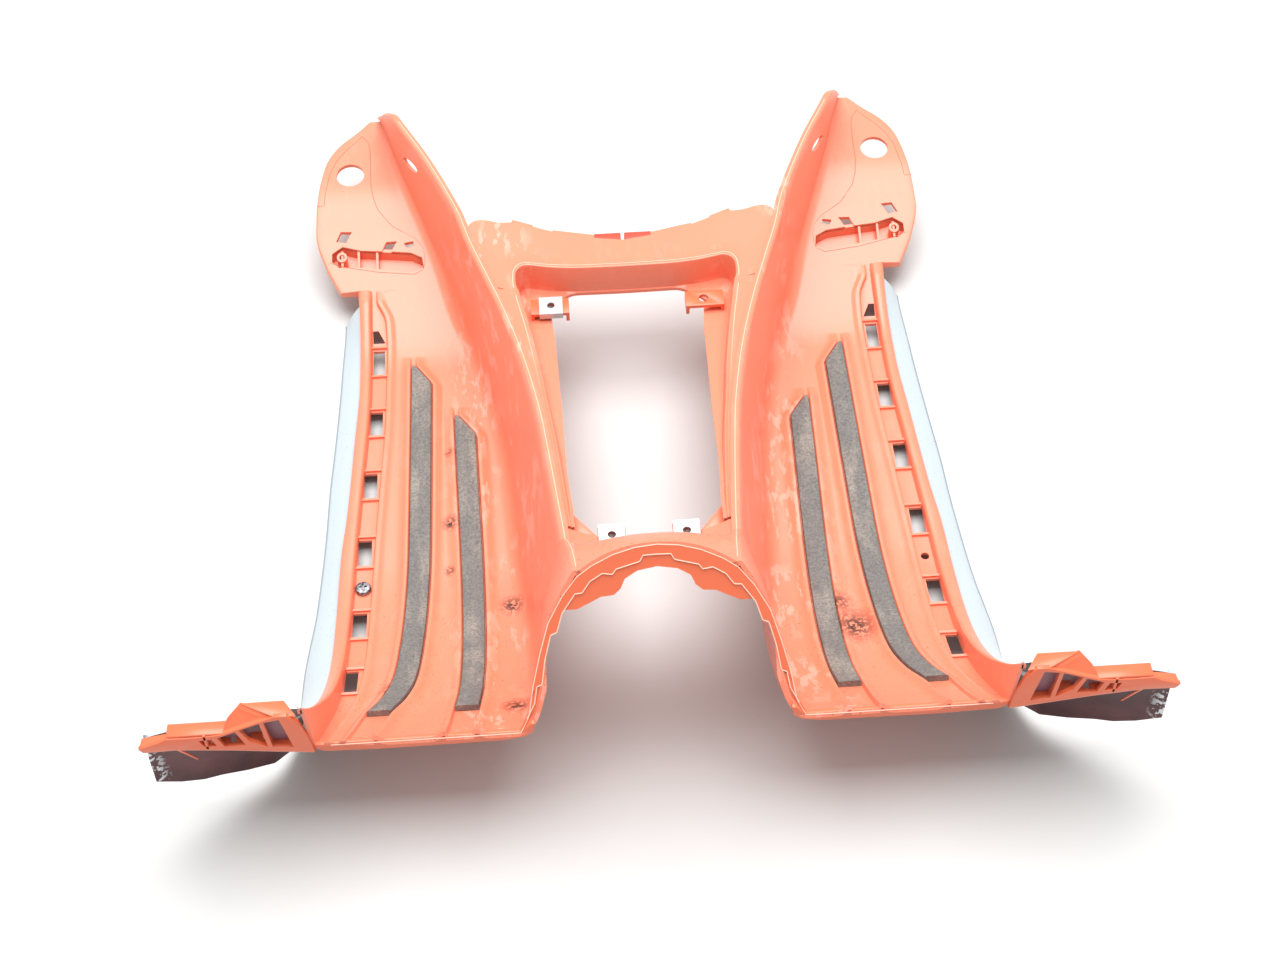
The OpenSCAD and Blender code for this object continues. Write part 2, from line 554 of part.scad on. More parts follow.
// Rubber strips lying in the grooves, pointed at the rear.
function strip_row(v, c, tip) =
    let (a = strip_in(v, c, tip), b = strip_out(v, c, tip), z = floor_at(v))
    [put(v, a, z + 0.25), put(v, b, z + 0.25), put(v, b, z + strip_top - 0.5),
     put(v, b - 0.6, z + strip_top), put(v, a + 0.6, z + strip_top),
     put(v, a, z + strip_top - 0.5)];
strip_caps = [[2, 1, 0], [3, 2, 0], [4, 3, 0], [5, 4, 0]];
module strip(tab, tip) color(grey) {
    places = concat([for (v = stations) if (v >= strip_end && v < tip - 1) v],
                    [tip - 0.6]);
    skin([for (v = places) strip_row(v, curve_at(tab, v), tip)], strip_caps);
}
module left_middle_strip() mirror([1, 0, 0]) strip(middle_c_tab, middle_tip);
module left_inner_strip() mirror([1, 0, 0]) strip(inner_c_tab, inner_tip);
module right_middle_strip() strip(middle_c_tab, middle_tip);
module right_inner_strip() strip(inner_c_tab, inner_tip);

// Sheet clip nut: folded over the lug edge, threaded in the lower leaf.
module clip_nut(gap) color(zinc) {
    difference() {
        union() {
            translate([-clip_w / 2, -clip_l / 2, 0]) cube([clip_w, clip_l, clip_t]);
            translate([-clip_w / 2, -clip_l / 2, -gap - clip_t])
                cube([clip_w, clip_l, clip_t]);
            translate([-clip_w / 2, clip_l / 2 - clip_t, -gap - clip_t])
                cube([clip_w, clip_t, gap + 2 * clip_t]);
            translate([0, 0, -gap - clip_t - 2.6])
                cylinder(d = clip_bore_d + 2.6, h = 3, $fn = 32);
        }
        translate([0, 0, -gap - 6]) cylinder(d = clip_bore_d, h = gap + 10, $fn = 32);
    }
}
module rear_clip() {
    translate([50.6 * kx, 72 * ky, lug_z() + 0.05])
        mirror([0, 1, 0]) clip_nut(2.7);
}
module front_clip() {
    translate([22 * kx, -136.5 * ky, front_lug_z + 0.05]) clip_nut(2.5);
}
module left_rear_clip_nut() mirror([1, 0, 0]) rear_clip();
module left_front_clip_nut() mirror([1, 0, 0]) front_clip();
module right_front_clip_nut() front_clip();

// Pan-head screw in the left outer channel.
module left_channel_screw() color(zinc) {
    z = floor_at(-106) - 1;
    translate([-179.6 * kx, -97 * ky, z]) difference() {
        union() {
            rotate_extrude($fn = 48) polygon([[0, 0.05],
                [screw_head_d / 2, 0.05], [screw_head_d / 2, 1.4],
                [screw_head_d / 2 * 0.86, 2.5], [screw_head_d / 2 * 0.5, 3.1],
                [0, 3.2]]);
            translate([0, 0, -8]) cylinder(d = screw_shank_d, h = 8.4, $fn = 32);
        }
        translate([-2.6, -0.55, 1.6]) cube([5.2, 1.1, 3]);
        translate([-0.55, -2.6, 1.6]) cube([1.1, 5.2, 3]);
    }
}

// The middle of the board's box comes to x = 0, y = 0.
module placed() translate([0, -mid_v * ky, 0]) children();

placed() floor_panel();
placed() left_side_skirt();
placed() right_side_skirt();
placed() left_middle_strip();
placed() left_inner_strip();
placed() right_middle_strip();
placed() right_inner_strip();
placed() left_rear_clip_nut();
placed() left_front_clip_nut();
placed() right_front_clip_nut();
placed() left_channel_screw();
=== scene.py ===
import math

import bmesh
import bpy
import numpy as np
from mathutils import Matrix, Vector


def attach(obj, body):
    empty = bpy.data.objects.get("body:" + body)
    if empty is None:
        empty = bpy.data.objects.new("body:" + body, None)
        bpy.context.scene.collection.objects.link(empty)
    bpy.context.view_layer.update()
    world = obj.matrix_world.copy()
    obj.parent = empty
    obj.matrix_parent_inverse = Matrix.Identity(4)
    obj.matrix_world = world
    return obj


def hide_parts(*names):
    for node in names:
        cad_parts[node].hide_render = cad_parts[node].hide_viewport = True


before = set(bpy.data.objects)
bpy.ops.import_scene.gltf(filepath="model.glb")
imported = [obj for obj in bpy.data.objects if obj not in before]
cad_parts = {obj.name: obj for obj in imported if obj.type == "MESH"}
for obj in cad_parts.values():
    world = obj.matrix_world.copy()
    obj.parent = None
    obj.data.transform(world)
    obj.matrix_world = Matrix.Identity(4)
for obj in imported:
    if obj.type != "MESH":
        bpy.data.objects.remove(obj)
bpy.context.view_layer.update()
print("frame loaded")


# small helpers; lengths are drawn in millimetres and finished meshes are in metres
def linear(hexColour):
    parts = [int(hexColour[i:i + 2], 16) / 255 for i in (1, 3, 5)]
    return tuple(c / 12.92 if c <= 0.04045 else ((c + 0.055) / 1.055) ** 2.4
                 for c in parts) + (1.0,)


def addNode(tree, kind, inputs=None, **settings):
    node = tree.nodes.new(kind)
    for key, value in settings.items():
        setattr(node, key, value)
    for key, value in (inputs or {}).items():
        socket = node.inputs[key]
        if isinstance(value, bpy.types.NodeSocket):
            tree.links.new(value, socket)
        else:
            socket.default_value = value
    return node


def slopes(table):
    t = np.array(table, float)
    chord = np.diff(t[:, 1]) / np.diff(t[:, 0])
    out = np.zeros(len(t))
    out[0], out[-1] = chord[0], chord[-1]
    for i in range(1, len(t) - 1):
        if chord[i - 1] * chord[i] > 0:
            out[i] = (t[i + 1, 1] - t[i - 1, 1]) / (t[i + 1, 0] - t[i - 1, 0])
    return t, out


curveStore = {}


def curveAt(table, v):
    # Smooth value of a table of [place, value] pairs at v.
    key = id(table)
    if key not in curveStore:
        curveStore[key] = slopes(table)
    t, m = curveStore[key]
    if v <= t[0, 0]:
        return t[0, 1]
    if v >= t[-1, 0]:
        return t[-1, 1]
    i = int(np.searchsorted(t[:, 0], v, side="right")) - 1
    w = t[i + 1, 0] - t[i, 0]
    u = (v - t[i, 0]) / w
    return (t[i, 1] * (2 * u ** 3 - 3 * u ** 2 + 1) + t[i + 1, 1] * (3 * u ** 2 - 2 * u ** 3)
            + w * (m[i] * (u ** 3 - 2 * u ** 2 + u) + m[i + 1] * (u ** 3 - u ** 2)))


def smooth(u):
    c = min(max(u, 0.0), 1.0)
    return c * c * (3 - 2 * c)


def stations(first, beyond, step):
    return [float(v) for v in np.arange(first, beyond, step)]


def meshObject(name, points, faces):
    mesh = bpy.data.meshes.new(name)
    mesh.from_pydata([tuple(p) for p in points], [], [tuple(f) for f in faces])
    mesh.update()
    obj = bpy.data.objects.new(name, mesh)
    bpy.context.scene.collection.objects.link(obj)
    return obj


def repaint(obj, paint):
    obj.data.materials.clear()
    obj.data.materials.append(paint)


def joined(name, objs):
    bpy.ops.object.select_all(action="DESELECT")
    for o in objs:
        o.select_set(True)
    bpy.context.view_layer.objects.active = objs[0]
    bpy.ops.object.join()
    objs[0].name = name
    return objs[0]


def outward(obj):
    bm = bmesh.new()
    bm.from_mesh(obj.data)
    bmesh.ops.recalc_face_normals(bm, faces=bm.faces)
    if bm.calc_volume(signed=True) < 0:
        bmesh.ops.reverse_faces(bm, faces=bm.faces)
    bm.to_mesh(obj.data)
    bm.free()


def shade(obj, angle=32):
    mesh = obj.data
    mesh.polygons.foreach_set("use_smooth", [True] * len(mesh.polygons))
    mesh.set_sharp_from_angle(angle=math.radians(angle))


def applyModifiers(obj):
    graph = bpy.context.evaluated_depsgraph_get()
    mesh = bpy.data.meshes.new_from_object(obj.evaluated_get(graph))
    obj.modifiers.clear()
    obj.data = mesh


def cutWith(obj, cutter):
    mod = obj.modifiers.new("cut", "BOOLEAN")
    mod.operation, mod.solver, mod.object = "DIFFERENCE", "EXACT", cutter
    applyModifiers(obj)
    bpy.data.objects.remove(cutter)


def mirroredX(obj, name):
    copy = obj.copy()
    copy.data = obj.data.copy()
    copy.name = name
    bpy.context.scene.collection.objects.link(copy)
    copy.data.transform(Matrix.Scale(-1, 4, Vector((1, 0, 0))))
    copy.data.flip_normals()
    return copy


def lofted(name, rings, closedEnds=True):
    # Solid through rows of closed rings, millimetres to metres.
    n, m = len(rings[0]), len(rings)
    points = np.array(rings, float).reshape(-1, 3) / 1000
    faces = [(j * n + i, j * n + (i + 1) % n, (j + 1) * n + (i + 1) % n, (j + 1) * n + i)
             for j in range(m - 1) for i in range(n)]
    if closedEnds:
        half = n // 2
        for base in (0, (m - 1) * n):
            for i in range(half):
                a, b = base + i, base + i + 1
                c, d = base + (n - 2 - i) % n, base + (n - 1 - i) % n
                ids = [a, b, c, d]
                ids = [k for q, k in enumerate(ids) if k not in ids[:q]]
                if len(ids) > 2:
                    faces.append(tuple(ids))
    obj = meshObject(name, points, faces)
    outward(obj)
    return obj


def rounded(points, radii, steps):
    # Polyline with its corners rounded; the count never changes.
    p = np.array(points, float)
    out = [p[0]]
    for i in range(1, len(p) - 1):
        r = radii[i]
        a, b, c = p[i - 1], p[i], p[i + 1]
        la, lc = np.linalg.norm(a - b), np.linalg.norm(c - b)
        if r <= 0:
            out.append(b)
            continue
        d = min(r, la * 0.48, lc * 0.48)
        s = b + (a - b) / max(la, 1e-9) * d
        e = b + (c - b) / max(lc, 1e-9) * d
        for k in range(steps + 1):
            u = k / steps
            out.append(s * (1 - u) ** 2 + b * 2 * u * (1 - u) + e * u * u)
    out.append(p[-1])
    return out


def plate(name, outline, low, high, plane="xy"):
    # Straight prism on an outline in millimetres.
    n = len(outline)
    def at(p, h):
        return (p[0], p[1], h) if plane == "xy" else (p[0], h, p[1])
    points = [at(p, low) for p in outline] + [at(p, high) for p in outline]
    faces = [tuple(range(n)), tuple(range(2 * n - 1, n - 1, -1))]
    faces += [(i, (i + 1) % n, n + (i + 1) % n, n + i) for i in range(n)]
    obj = meshObject(name, np.array(points) / 1000, faces)
    outward(obj)
    return obj


def block(name, low, high):
    return plate(name, [(low[0], low[1]), (high[0], low[1]), (high[0], high[1]),
                        (low[0], high[1])], low[2], high[2])


def tube(name, centre, radius, low, high, count=48):
    ring = [(centre[0] + radius * math.cos(2 * math.pi * i / count),
             centre[1] + radius * math.sin(2 * math.pi * i / count)) for i in range(count)]
    return plate(name, ring, low, high)


# the board's curves in millimetres, as [place along the board, value]; the ears are far away
board = {
    "floorZ": 12, "wall": 2.6, "frontRise": 77, "earRise": 34, "lip": 5,
    "shelfDrop": 22, "rimHeight": 3, "stripWidth": 13.4, "stripTop": 4.2,
    "play": 0.35, "stationStep": 4,
}
ridgeX = [[-250, 47], [-200, 50], [-150, 52.5], [-110, 56], [-69, 60],
          [-35, 64], [13, 73], [58, 85], [92, 96], [120, 105.5], [150, 114],
          [198, 134.5], [240, 156], [262, 164.5], [287, 170.5]]
ridgeZ = [[-250, 160], [-225, 150], [-200, 139], [-175, 129], [-150, 119],
          [-110, 107], [-69, 99], [-35, 95.5], [13, 91.5], [58, 88], [92, 86.5],
          [150, 86.5], [198, 89], [238, 90], [252, 82], [262, 71], [287, 46]]
footX = [[-250, 80], [-205, 79], [-156, 80], [-113, 84], [-73, 87],
         [-33, 89.5], [9, 93.5], [54, 102], [97, 112.5], [121, 121], [154, 131],
         [187, 143], [240, 161], [287, 172.5]]
edgeX = [[-250, 199], [-220, 197], [-180, 196], [-120, 195.5],
         [-75, 194.3], [-40, 191], [20, 187.3], [70, 184.6], [130, 184.8],
         [145, 186]]
earX = [[145, 198], [165, 208], [189, 214.5], [220, 213], [247, 208],
        [258, 203], [267, 196], [276, 186], [287, 175.5]]
lipRise = [[-250, 41], [-235, 32], [-210, 21], [-180, 12], [-150, 7.5],
           [-116, 5.6], [-80, 5], [130, 5], [145, 2]]
innerC = [[-250, 114], [-215, 112], [-190, 110], [-150, 109.3],
          [-70, 110.4], [-12, 112.1], [38, 113.4]]
middleC = [[-250, 170], [-225, 166], [-215, 163.5], [-200, 156.5],
           [-180, 150.8], [-150, 147.6], [-110, 145], [-70, 143.6], [84, 142.2]]
bedA = [[-250, 190], [-225, 186.5], [-200, 180.5], [-170, 176.8],
        [-120, 175], [-70, 173.2], [-12, 170], [50, 167], [122, 167.2],
        [136, 173]]
bedB = [[-250, 194.5], [-225, 192.6], [-200, 189], [-170, 187],
        [-120, 185.5], [-70, 183.6], [-12, 180.2], [50, 176.6], [122, 176.2],
        [136, 176]]
innerTip, middleTip, stripEnd, channelTip, earStart = 38, 84, -215, 136, 145
tipFade, tipLength = 9, 17
# the footwells rise towards the near end and towards the ears
rise = {"frontFrom": -80, "square": 0.0017515, "fourth": 0.00000002763, "full": 73.9,
        "earFrom": 80, "earOver": 150, "tipFrom": 200, "tipSlope": 0.1}
# the near end leans back between the two channels
lean = {"slope": 0.6, "from": -150, "over": 100, "within": 172}


def floorAt(v):
    s, r = max(0, rise["frontFrom"] - v), max(0, v - rise["earFrom"])
    return (board["floorZ"] + board["frontRise"] / rise["full"]
            * (rise["square"] * s * s + rise["fourth"] * s ** 4)
            + board["earRise"] * smooth(r / rise["earOver"])
            + max(0, v - rise["tipFrom"]) * rise["tipSlope"])


frontFloor = floorAt(-250)


def ridgeAt(v):
    return board["floorZ"] + curveAt(ridgeZ, v)


def put(v, x, z):
    upright = x > lean["within"] or v > lean["from"]
    slope = 0 if upright else lean["slope"] * (lean["from"] - v) / lean["over"]
    return (x, v + slope * (z - floorAt(v)), z)


def fade(v, tip):
    return min(max((tip + tipFade - v) / tipFade, 0), 1)


def stripIn(v, table, tip):
    k = min(max((v - (tip - tipLength)) / tipLength, 0), 1)
    return curveAt(table, v) - board["stripWidth"] / 2 + board["stripWidth"] * k * 0.86


def stripOut(v, table, tip):
    return curveAt(table, v) + board["stripWidth"] / 2


def mixed(a, b, t):
    return a * (1 - t) + b * t


def bent(a, c, b, count):
    return [a * (1 - u) ** 2 + c * 2 * u * (1 - u) + b * u * u
            for u in [k / count for k in range(1, count)]]


# the flank from the ridge down to the footwell, with a belly towards the near end
flank = {"before": 6, "beyond": 2, "turn": 15, "turnAtEars": 4.5, "belly": 6, "crest": 1.6}


def stripBed(inner, outer, rim, before, after):
    # Seat of one strip between its two rims: x, height over the floor and corner radius.
    seat = 0.2 * rim / 3
    return [(inner - before, rim, 1.2), (inner - 1.2, rim, 0.7), (inner - board["play"], seat, 0.3),
            (outer + board["play"], seat, 0.3), (outer + 1.2, rim, 0.7), (outer + after, rim, 1.2)]


def upperLine(v):
    # Top of one half in section, from the ridge out to the lip, and the radii of its corners.
    # r is the ridge, f the foot of the flank, b the channel's bed, e the edge or the ear.
    xr, zr, xf, zf = curveAt(ridgeX, v), ridgeAt(v), curveAt(footX, v), floorAt(v)
    beyond = flank["beyond"]
    foot, corner = np.array([xf + beyond, zf]), np.array([xf - flank["before"], zf])
    down = corner - np.array([xr, zr])
    span = max(np.linalg.norm(down), 0.5)
    turn = flank["turn"] - (flank["turn"] - flank["turnAtEars"]) * smooth((v - 120) / 60)
    turnStart = corner - down / span * min(0.45 * span, turn)
    top = np.array([xr, zr - flank["crest"]])
    q = min(1, span / 40)
    line = [([xr - 6 * q, zr - 0.8], 0), ([xr - 4 * q, zr - 0.15], 0), ([xr - 2.5 * q, zr], 0),
            ([xr - 1.1 * q, zr - 0.35], 0), (top, 0)]
    belly = flank["belly"] * smooth((-120 - v) / 130)
    for k in (0.12, 0.25, 0.38, 0.5, 0.62, 0.75, 0.88):
        swell = belly * math.sin(math.pi * min(k * 1.15, 1))
        line.append((mixed(top, turnStart, k) + np.array([swell, swell * 0.25]), 0))
    line.append((turnStart, 0))
    line += [(p, 0) for p in bent(turnStart, corner, foot, 7)]
    line.append((foot, 0))

    ear = v > earStart
    ba, bb = curveAt(bedA, v), curveAt(bedB, v)
    xe = curveAt(earX if ear else edgeX, v)
    width = xe - xf - beyond
    ea, eb = foot[0] + min(7, 0.3 * width), xe - min(5, 0.3 * width)
    last = ea if ear else ba - 7
    i1, o1 = stripIn(v, innerC, innerTip), stripOut(v, innerC, innerTip)
    i2, o2 = stripIn(v, middleC, middleTip), stripOut(v, middleC, middleTip)
    rim1, rim2 = [fade(v, tip) * board["rimHeight"] for tip in (innerTip, middleTip)]
    ground = ([(max(xf + 2.4, i1 - 8), 0, 3)] + stripBed(i1, o1, rim1, 3.4, 3)
              + [(o1 + 7.2, 0, 3), (i2 - 7.2, 0, 3)] + stripBed(i2, o2, rim2, 3, 3.2)
              + [(min(o2 + 6.6, ba - 7.6), 0, 2.4)])
    # past the strips' tips the points of the ground spread out evenly
    w = smooth((v - 86) / 24)
    for k, (x, lift, radius) in enumerate(ground, 1):
        even = foot[0] + (last - xf - beyond) * k / (len(ground) + 1)
        line.append(([mixed(x, even, w), zf + lift], radius))
    line.append(([last, zf], 2.4))
    if ear:
        across = [ea + share * (eb - ea) for share in (0.04, 0.1, 0.4, 0.7, 0.97)]
        line += [([x, zf - 0.05], 0.4) for x in across + [eb, xe - 0.12 * (xe - eb)]]
        line += [([xe, zf - 0.6], 0.4), ([xe, zf - 4.6], 0)]
    else:
        fc = fade(v, channelTip)
        lip = curveAt(lipRise, v) * board["lip"] / 5
        line += [([ba - 3.4, zf + 2 * fc], 1), ([ba - 0.6, zf + 2 * fc], 0.8),
                 ([ba, zf - fc], 0.4), ([bb, zf - fc], 0.6), ([bb + 1, zf + lip - 1], 1.2),
                 ([min(bb + 3.4, xe - 2.6), zf + lip], 1.4), ([xe - 1.6, zf + lip - 0.6], 1.2),
                 ([xe, zf + lip - 2.4], 1.2), ([xe, zf + lip - 6.4], 0)]
    return [np.array(p, float) for p, r in line], [r for p, r in line]


def sectionRing(v):
    # Closed section of one half: the rounded top and the same line one wall below.
    points, radii = upperLine(v)
    top = np.array(rounded(points, radii, 2))
    t = board["wall"]
    n = len(top)
    run = np.concatenate([[0], np.cumsum(np.linalg.norm(np.diff(top, axis=0), axis=1))])
    below = []
    for i in range(n):
        ahead = [np.interp(min(run[i] + 5, run[-1]), run, top[:, k]) for k in (0, 1)]
        behind = [np.interp(max(run[i] - 5, 0), run, top[:, k]) for k in (0, 1)]
        d = np.array(ahead) - np.array(behind)
        d /= max(np.linalg.norm(d), 1e-6)
        below.append(top[i] + np.array([d[1], -d[0]]) * t)
    below[-1] = top[-1] + np.array([-t, 0])
    below[0] = top[0] + np.array([0.4, -t])
    return [put(v, p[0], p[1]) for p in top] + [put(v, p[0], p[1]) for p in reversed(below)]


# paints
def newPaint(name, hexColour, roughness, **more):
    paint = bpy.data.materials.new(name)
    paint.use_nodes = True
    shader = paint.node_tree.nodes["Principled BSDF"]
    shader.inputs["Base Color"].default_value = linear(hexColour)
    shader.inputs["Roughness"].default_value = roughness
    for key, value in more.items():
        shader.inputs[key].default_value = value
    return paint, paint.node_tree, shader


def ramp(tree, factor, low, high, lowValue=0.0, highValue=1.0):
    return addNode(tree, "ShaderNodeMapRange", {"Value": factor, "From Min": low, "From Max": high,
                                                "To Min": lowValue, "To Max": highValue}).outputs["Result"]


def blendColour(tree, factor, first, second):
    node = tree.nodes.new("ShaderNodeMix")
    node.data_type = "RGBA"
    for key, value in ((0, factor), (6, first), (7, second)):
        if isinstance(value, bpy.types.NodeSocket):
            tree.links.new(value, node.inputs[key])
        else:
            node.inputs[key].default_value = value
    return node.outputs[2]


def noise(tree, where, scale, detail=3, rough=0.55):
    return addNode(tree, "ShaderNodeTexNoise", {"Vector": where, "Scale": scale, "Detail": detail,
                                                "Roughness": rough}).outputs["Fac"]


def objectPlace(tree):
    return addNode(tree, "ShaderNodeTexCoord").outputs["Object"]


def scaled(tree, where, scale):
    return addNode(tree, "ShaderNodeMapping", {"Vector": where, "Scale": scale}).outputs["Vector"]


def maths(tree, operation, first, second=0.0):
    return addNode(tree, "ShaderNodeMath", {0: first, 1: second}, operation=operation).outputs[0]


def both(tree, first, second):
    return maths(tree, "MULTIPLY", first, second)


def partOf(tree, where, axis):
    return addNode(tree, "ShaderNodeSeparateXYZ", {"Vector": where}).outputs[axis]


def fromMiddle(tree, where):
    return maths(tree, "ABSOLUTE", partOf(tree, where, "X"))


# moulded ABS, scuffed by shoes
plasticLook = {"colour": "#e88063", "scuff": "#f3a795", "dirt": "#452c22", "roughness": 0.36,
               "scuffRoughness": 0.6, "scuffStrength": 0.6, "coat": 0.12, "coatRoughness": 0.2}
plastic, tree, shader = newPaint("orangePlastic", plasticLook["colour"], plasticLook["roughness"])
shader.inputs["Coat Weight"].default_value = plasticLook["coat"]
shader.inputs["Coat Roughness"].default_value = plasticLook["coatRoughness"]
where = objectPlace(tree)
scuffs = ramp(tree, noise(tree, scaled(tree, where, (1.0, 0.32, 0.45)), 170, 3, 0.6), 0.52, 0.57)
sideways = fromMiddle(tree, where)
onFlank = both(tree, ramp(tree, sideways, 0.056, 0.07), ramp(tree, sideways, 0.128, 0.105))
patches = both(tree, ramp(tree, noise(tree, where, 18, 2), 0.42, 0.55),
               ramp(tree, onFlank, 0, 1, 0.12, 1))
scuffMask = both(tree, scuffs, patches)
colour = blendColour(tree, both(tree, scuffMask, plasticLook["scuffStrength"]),
                     linear(plasticLook["colour"]), linear(plasticLook["scuff"]))
# spots where mud dried on the real board: x, y, z and radius in metres
grimeSpots = [(-0.1234, -0.0667, 0.012, 0.008), (-0.0858, -0.1345, 0.016, 0.010),
              (0.1257, -0.171, 0.02, 0.020), (-0.1235, -0.0093, 0.012, 0.005),
              (-0.1244, -0.104, 0.012, 0.005), (-0.0832, -0.230, 0.052, 0.012),
              (-0.1589, -0.2077, 0.038, 0.009), (0.118, -0.15, 0.016, 0.012)]
grime = None
for x, y, z, radius in grimeSpots:
    gap = addNode(tree, "ShaderNodeVectorMath", {0: where, 1: (x, y, z)},
                  operation="DISTANCE").outputs["Value"]
    near = ramp(tree, gap, radius, radius * 0.2)
    grime = near if grime is None else maths(tree, "MAXIMUM", grime, near)
grime = both(tree, grime, ramp(tree, noise(tree, where, 420, 2), 0.4, 0.48))
# fine specks of dirt, only towards the near end
fineSpecks = both(tree, ramp(tree, noise(tree, where, 700, 1), 0.69, 0.72, 0, 0.6),
                  ramp(tree, partOf(tree, where, "Y"), -0.06, -0.2))
grime = maths(tree, "MAXIMUM", grime, fineSpecks)
colour = blendColour(tree, grime, colour, linear(plasticLook["dirt"]))
tree.links.new(colour, shader.inputs["Base Color"])
tree.links.new(ramp(tree, scuffMask, 0, 1, plasticLook["roughness"], plasticLook["scuffRoughness"]),
               shader.inputs["Roughness"])

# ABS, painted shade for the centre tabs
darkPlastic = newPaint("shadedPlastic", "#b5442f", 0.5)[0]
# ABS, painted highlight along lit edges
glintPaint = newPaint("paintedEdgeHighlight", "#f6c9b4", 0.35)[0]
# ABS, painted shade for faces that face the camera and turn away from the lamp
shadedFrontPlastic = newPaint("frontShadePlastic", "#df6a45", 0.34)[0]
# ABS, back of the wing behind its windows, coloured as painted deep shade
mauvePlastic = newPaint("shadedBack", "#86606a", 0.45)[0]
# ABS, painted shade in the step lines
stepShadePaint = newPaint("paintedStepShade", "#c0553c", 0.5)[0]

skirtLook = {"paint": "#b5c0c6", "dust": "#878d90", "chip": "#332b2b", "edge": "#8e979b",
             "inside": "#482427", "insideWorn": "#6a383a", "insideChip": "#d9dde0", "coat": 0.3}


def chipsBeyond(tree, where, grain, level, reach):
    # Paint chips that start within reach of the wing tips, in metres from the middle.
    chips = ramp(tree, noise(tree, where, *grain), level, level + 0.04)
    return both(tree, chips, ramp(tree, fromMiddle(tree, where), *reach))


# PP, unpainted dark back; its red-brown tint is painted reflection of the orange panel
innerSkin, tree, shader = newPaint("skirtInside", skirtLook["inside"], 0.3)
where = objectPlace(tree)
chips = chipsBeyond(tree, where, (300, 3), 0.53, (0.28, 0.287))
bare = blendColour(tree, ramp(tree, noise(tree, where, 30), 0.4, 0.7),
                   linear(skirtLook["inside"]), linear(skirtLook["insideWorn"]))
tree.links.new(blendColour(tree, chips, bare, linear(skirtLook["insideChip"])),
               shader.inputs["Base Color"])
# PP, painted contact shadow along the skirt's lower edge
greyEdge = newPaint("bareEdge", skirtLook["edge"], 0.5)[0]
# painted PP, dusty
palePaint, tree, shader = newPaint("palePaint", skirtLook["paint"], 0.3)
where = objectPlace(tree)
dust = ramp(tree, noise(tree, where, 500, 2), 0.66, 0.72, 0, 0.5)
chips = chipsBeyond(tree, where, (260, 2), 0.5, (0.284, 0.289))
painted = blendColour(tree, dust, linear(skirtLook["paint"]), linear(skirtLook["dust"]))
tree.links.new(blendColour(tree, chips, painted, linear(skirtLook["chip"])),
               shader.inputs["Base Color"])
shader.inputs["Coat Weight"].default_value = skirtLook["coat"]

# moulded rubber with dried mud in its grain
rubberLook = {"dark": "#585654", "light": "#767471", "mud": "#a0978a", "roughness": 0.75,
              "bump": 0.4, "bumpHeight": 0.0003}
rubber, tree, shader = newPaint("footRubber", rubberLook["dark"], rubberLook["roughness"])
where = objectPlace(tree)
grain = noise(tree, where, 700, 3)
mud = ramp(tree, noise(tree, scaled(tree, where, (1.0, 0.25, 1.0)), 70, 4, 0.65), 0.46, 0.68, 0, 0.6)
mud = both(tree, mud, ramp(tree, grain, 0.35, 0.6, 0.35, 1))
base = blendColour(tree, ramp(tree, grain, 0.3, 0.7),
                   linear(rubberLook["dark"]), linear(rubberLook["light"]))
tree.links.new(blendColour(tree, mud, base, linear(rubberLook["mud"])), shader.inputs["Base Color"])
bump = addNode(tree, "ShaderNodeBump", {"Height": grain, "Strength": rubberLook["bump"],
                                        "Distance": rubberLook["bumpHeight"]})
tree.links.new(bump.outputs["Normal"], shader.inputs["Normal"])

# zinc-plated spring steel, faintly brushed
zinc, tree, shader = newPaint("zincSteel", "#bcbdc1", 0.38, Metallic=0.7)
tree.links.new(ramp(tree, noise(tree, objectPlace(tree), 120, 1), 0.3, 0.7, 0.34, 0.42),
               shader.inputs["Roughness"])
# weathered zinc of the screw
oldZinc, tree, shader = newPaint("weatheredZinc", "#7d7f84", 0.45, Metallic=0.85)
spots = ramp(tree, noise(tree, objectPlace(tree), 400, 3), 0.4, 0.6)
tree.links.new(blendColour(tree, spots, linear("#5b5c60"), linear("#a3a5a9")),
               shader.inputs["Base Color"])
print("paints ready")


# the moulding: one dense half, then its mirror image
extraPlaces = [47, 47.4, 93, 144.8, 145.2, 286.0, 37, 39, 83, 85, 135, 137]
places = sorted(set(stations(-250, 286, board["stationStep"]) + extraPlaces))
half = lofted("boardRight", [sectionRing(v) for v in places])
print("half board:", len(half.data.vertices), "vertices")

channel = {"windowLength": 20, "windows": [100.4, 47.5, -4.7, -58.3, -116, -166],
           "triangle": [(167.2, 106.4), (175.8, 106.4), (176.2, 124.6)],
           "screw": (179.6, -97), "screwHole": 2.75}
for far in channel["windows"]:
    near = far - channel["windowLength"]
    low, high = curveAt(bedA, near) + 1.2, curveAt(bedB, near) - 0.4
    bottom, top = sorted((floorAt(near), floorAt(far)))
    cutWith(half, block("window", (low, near, bottom - 8), (high, far, top + 4)))
cutWith(half, plate("tipHole", channel["triangle"], 4, 16))
cutWith(half, tube("screwHole", channel["screw"], channel["screwHole"], 2, 20, 24))

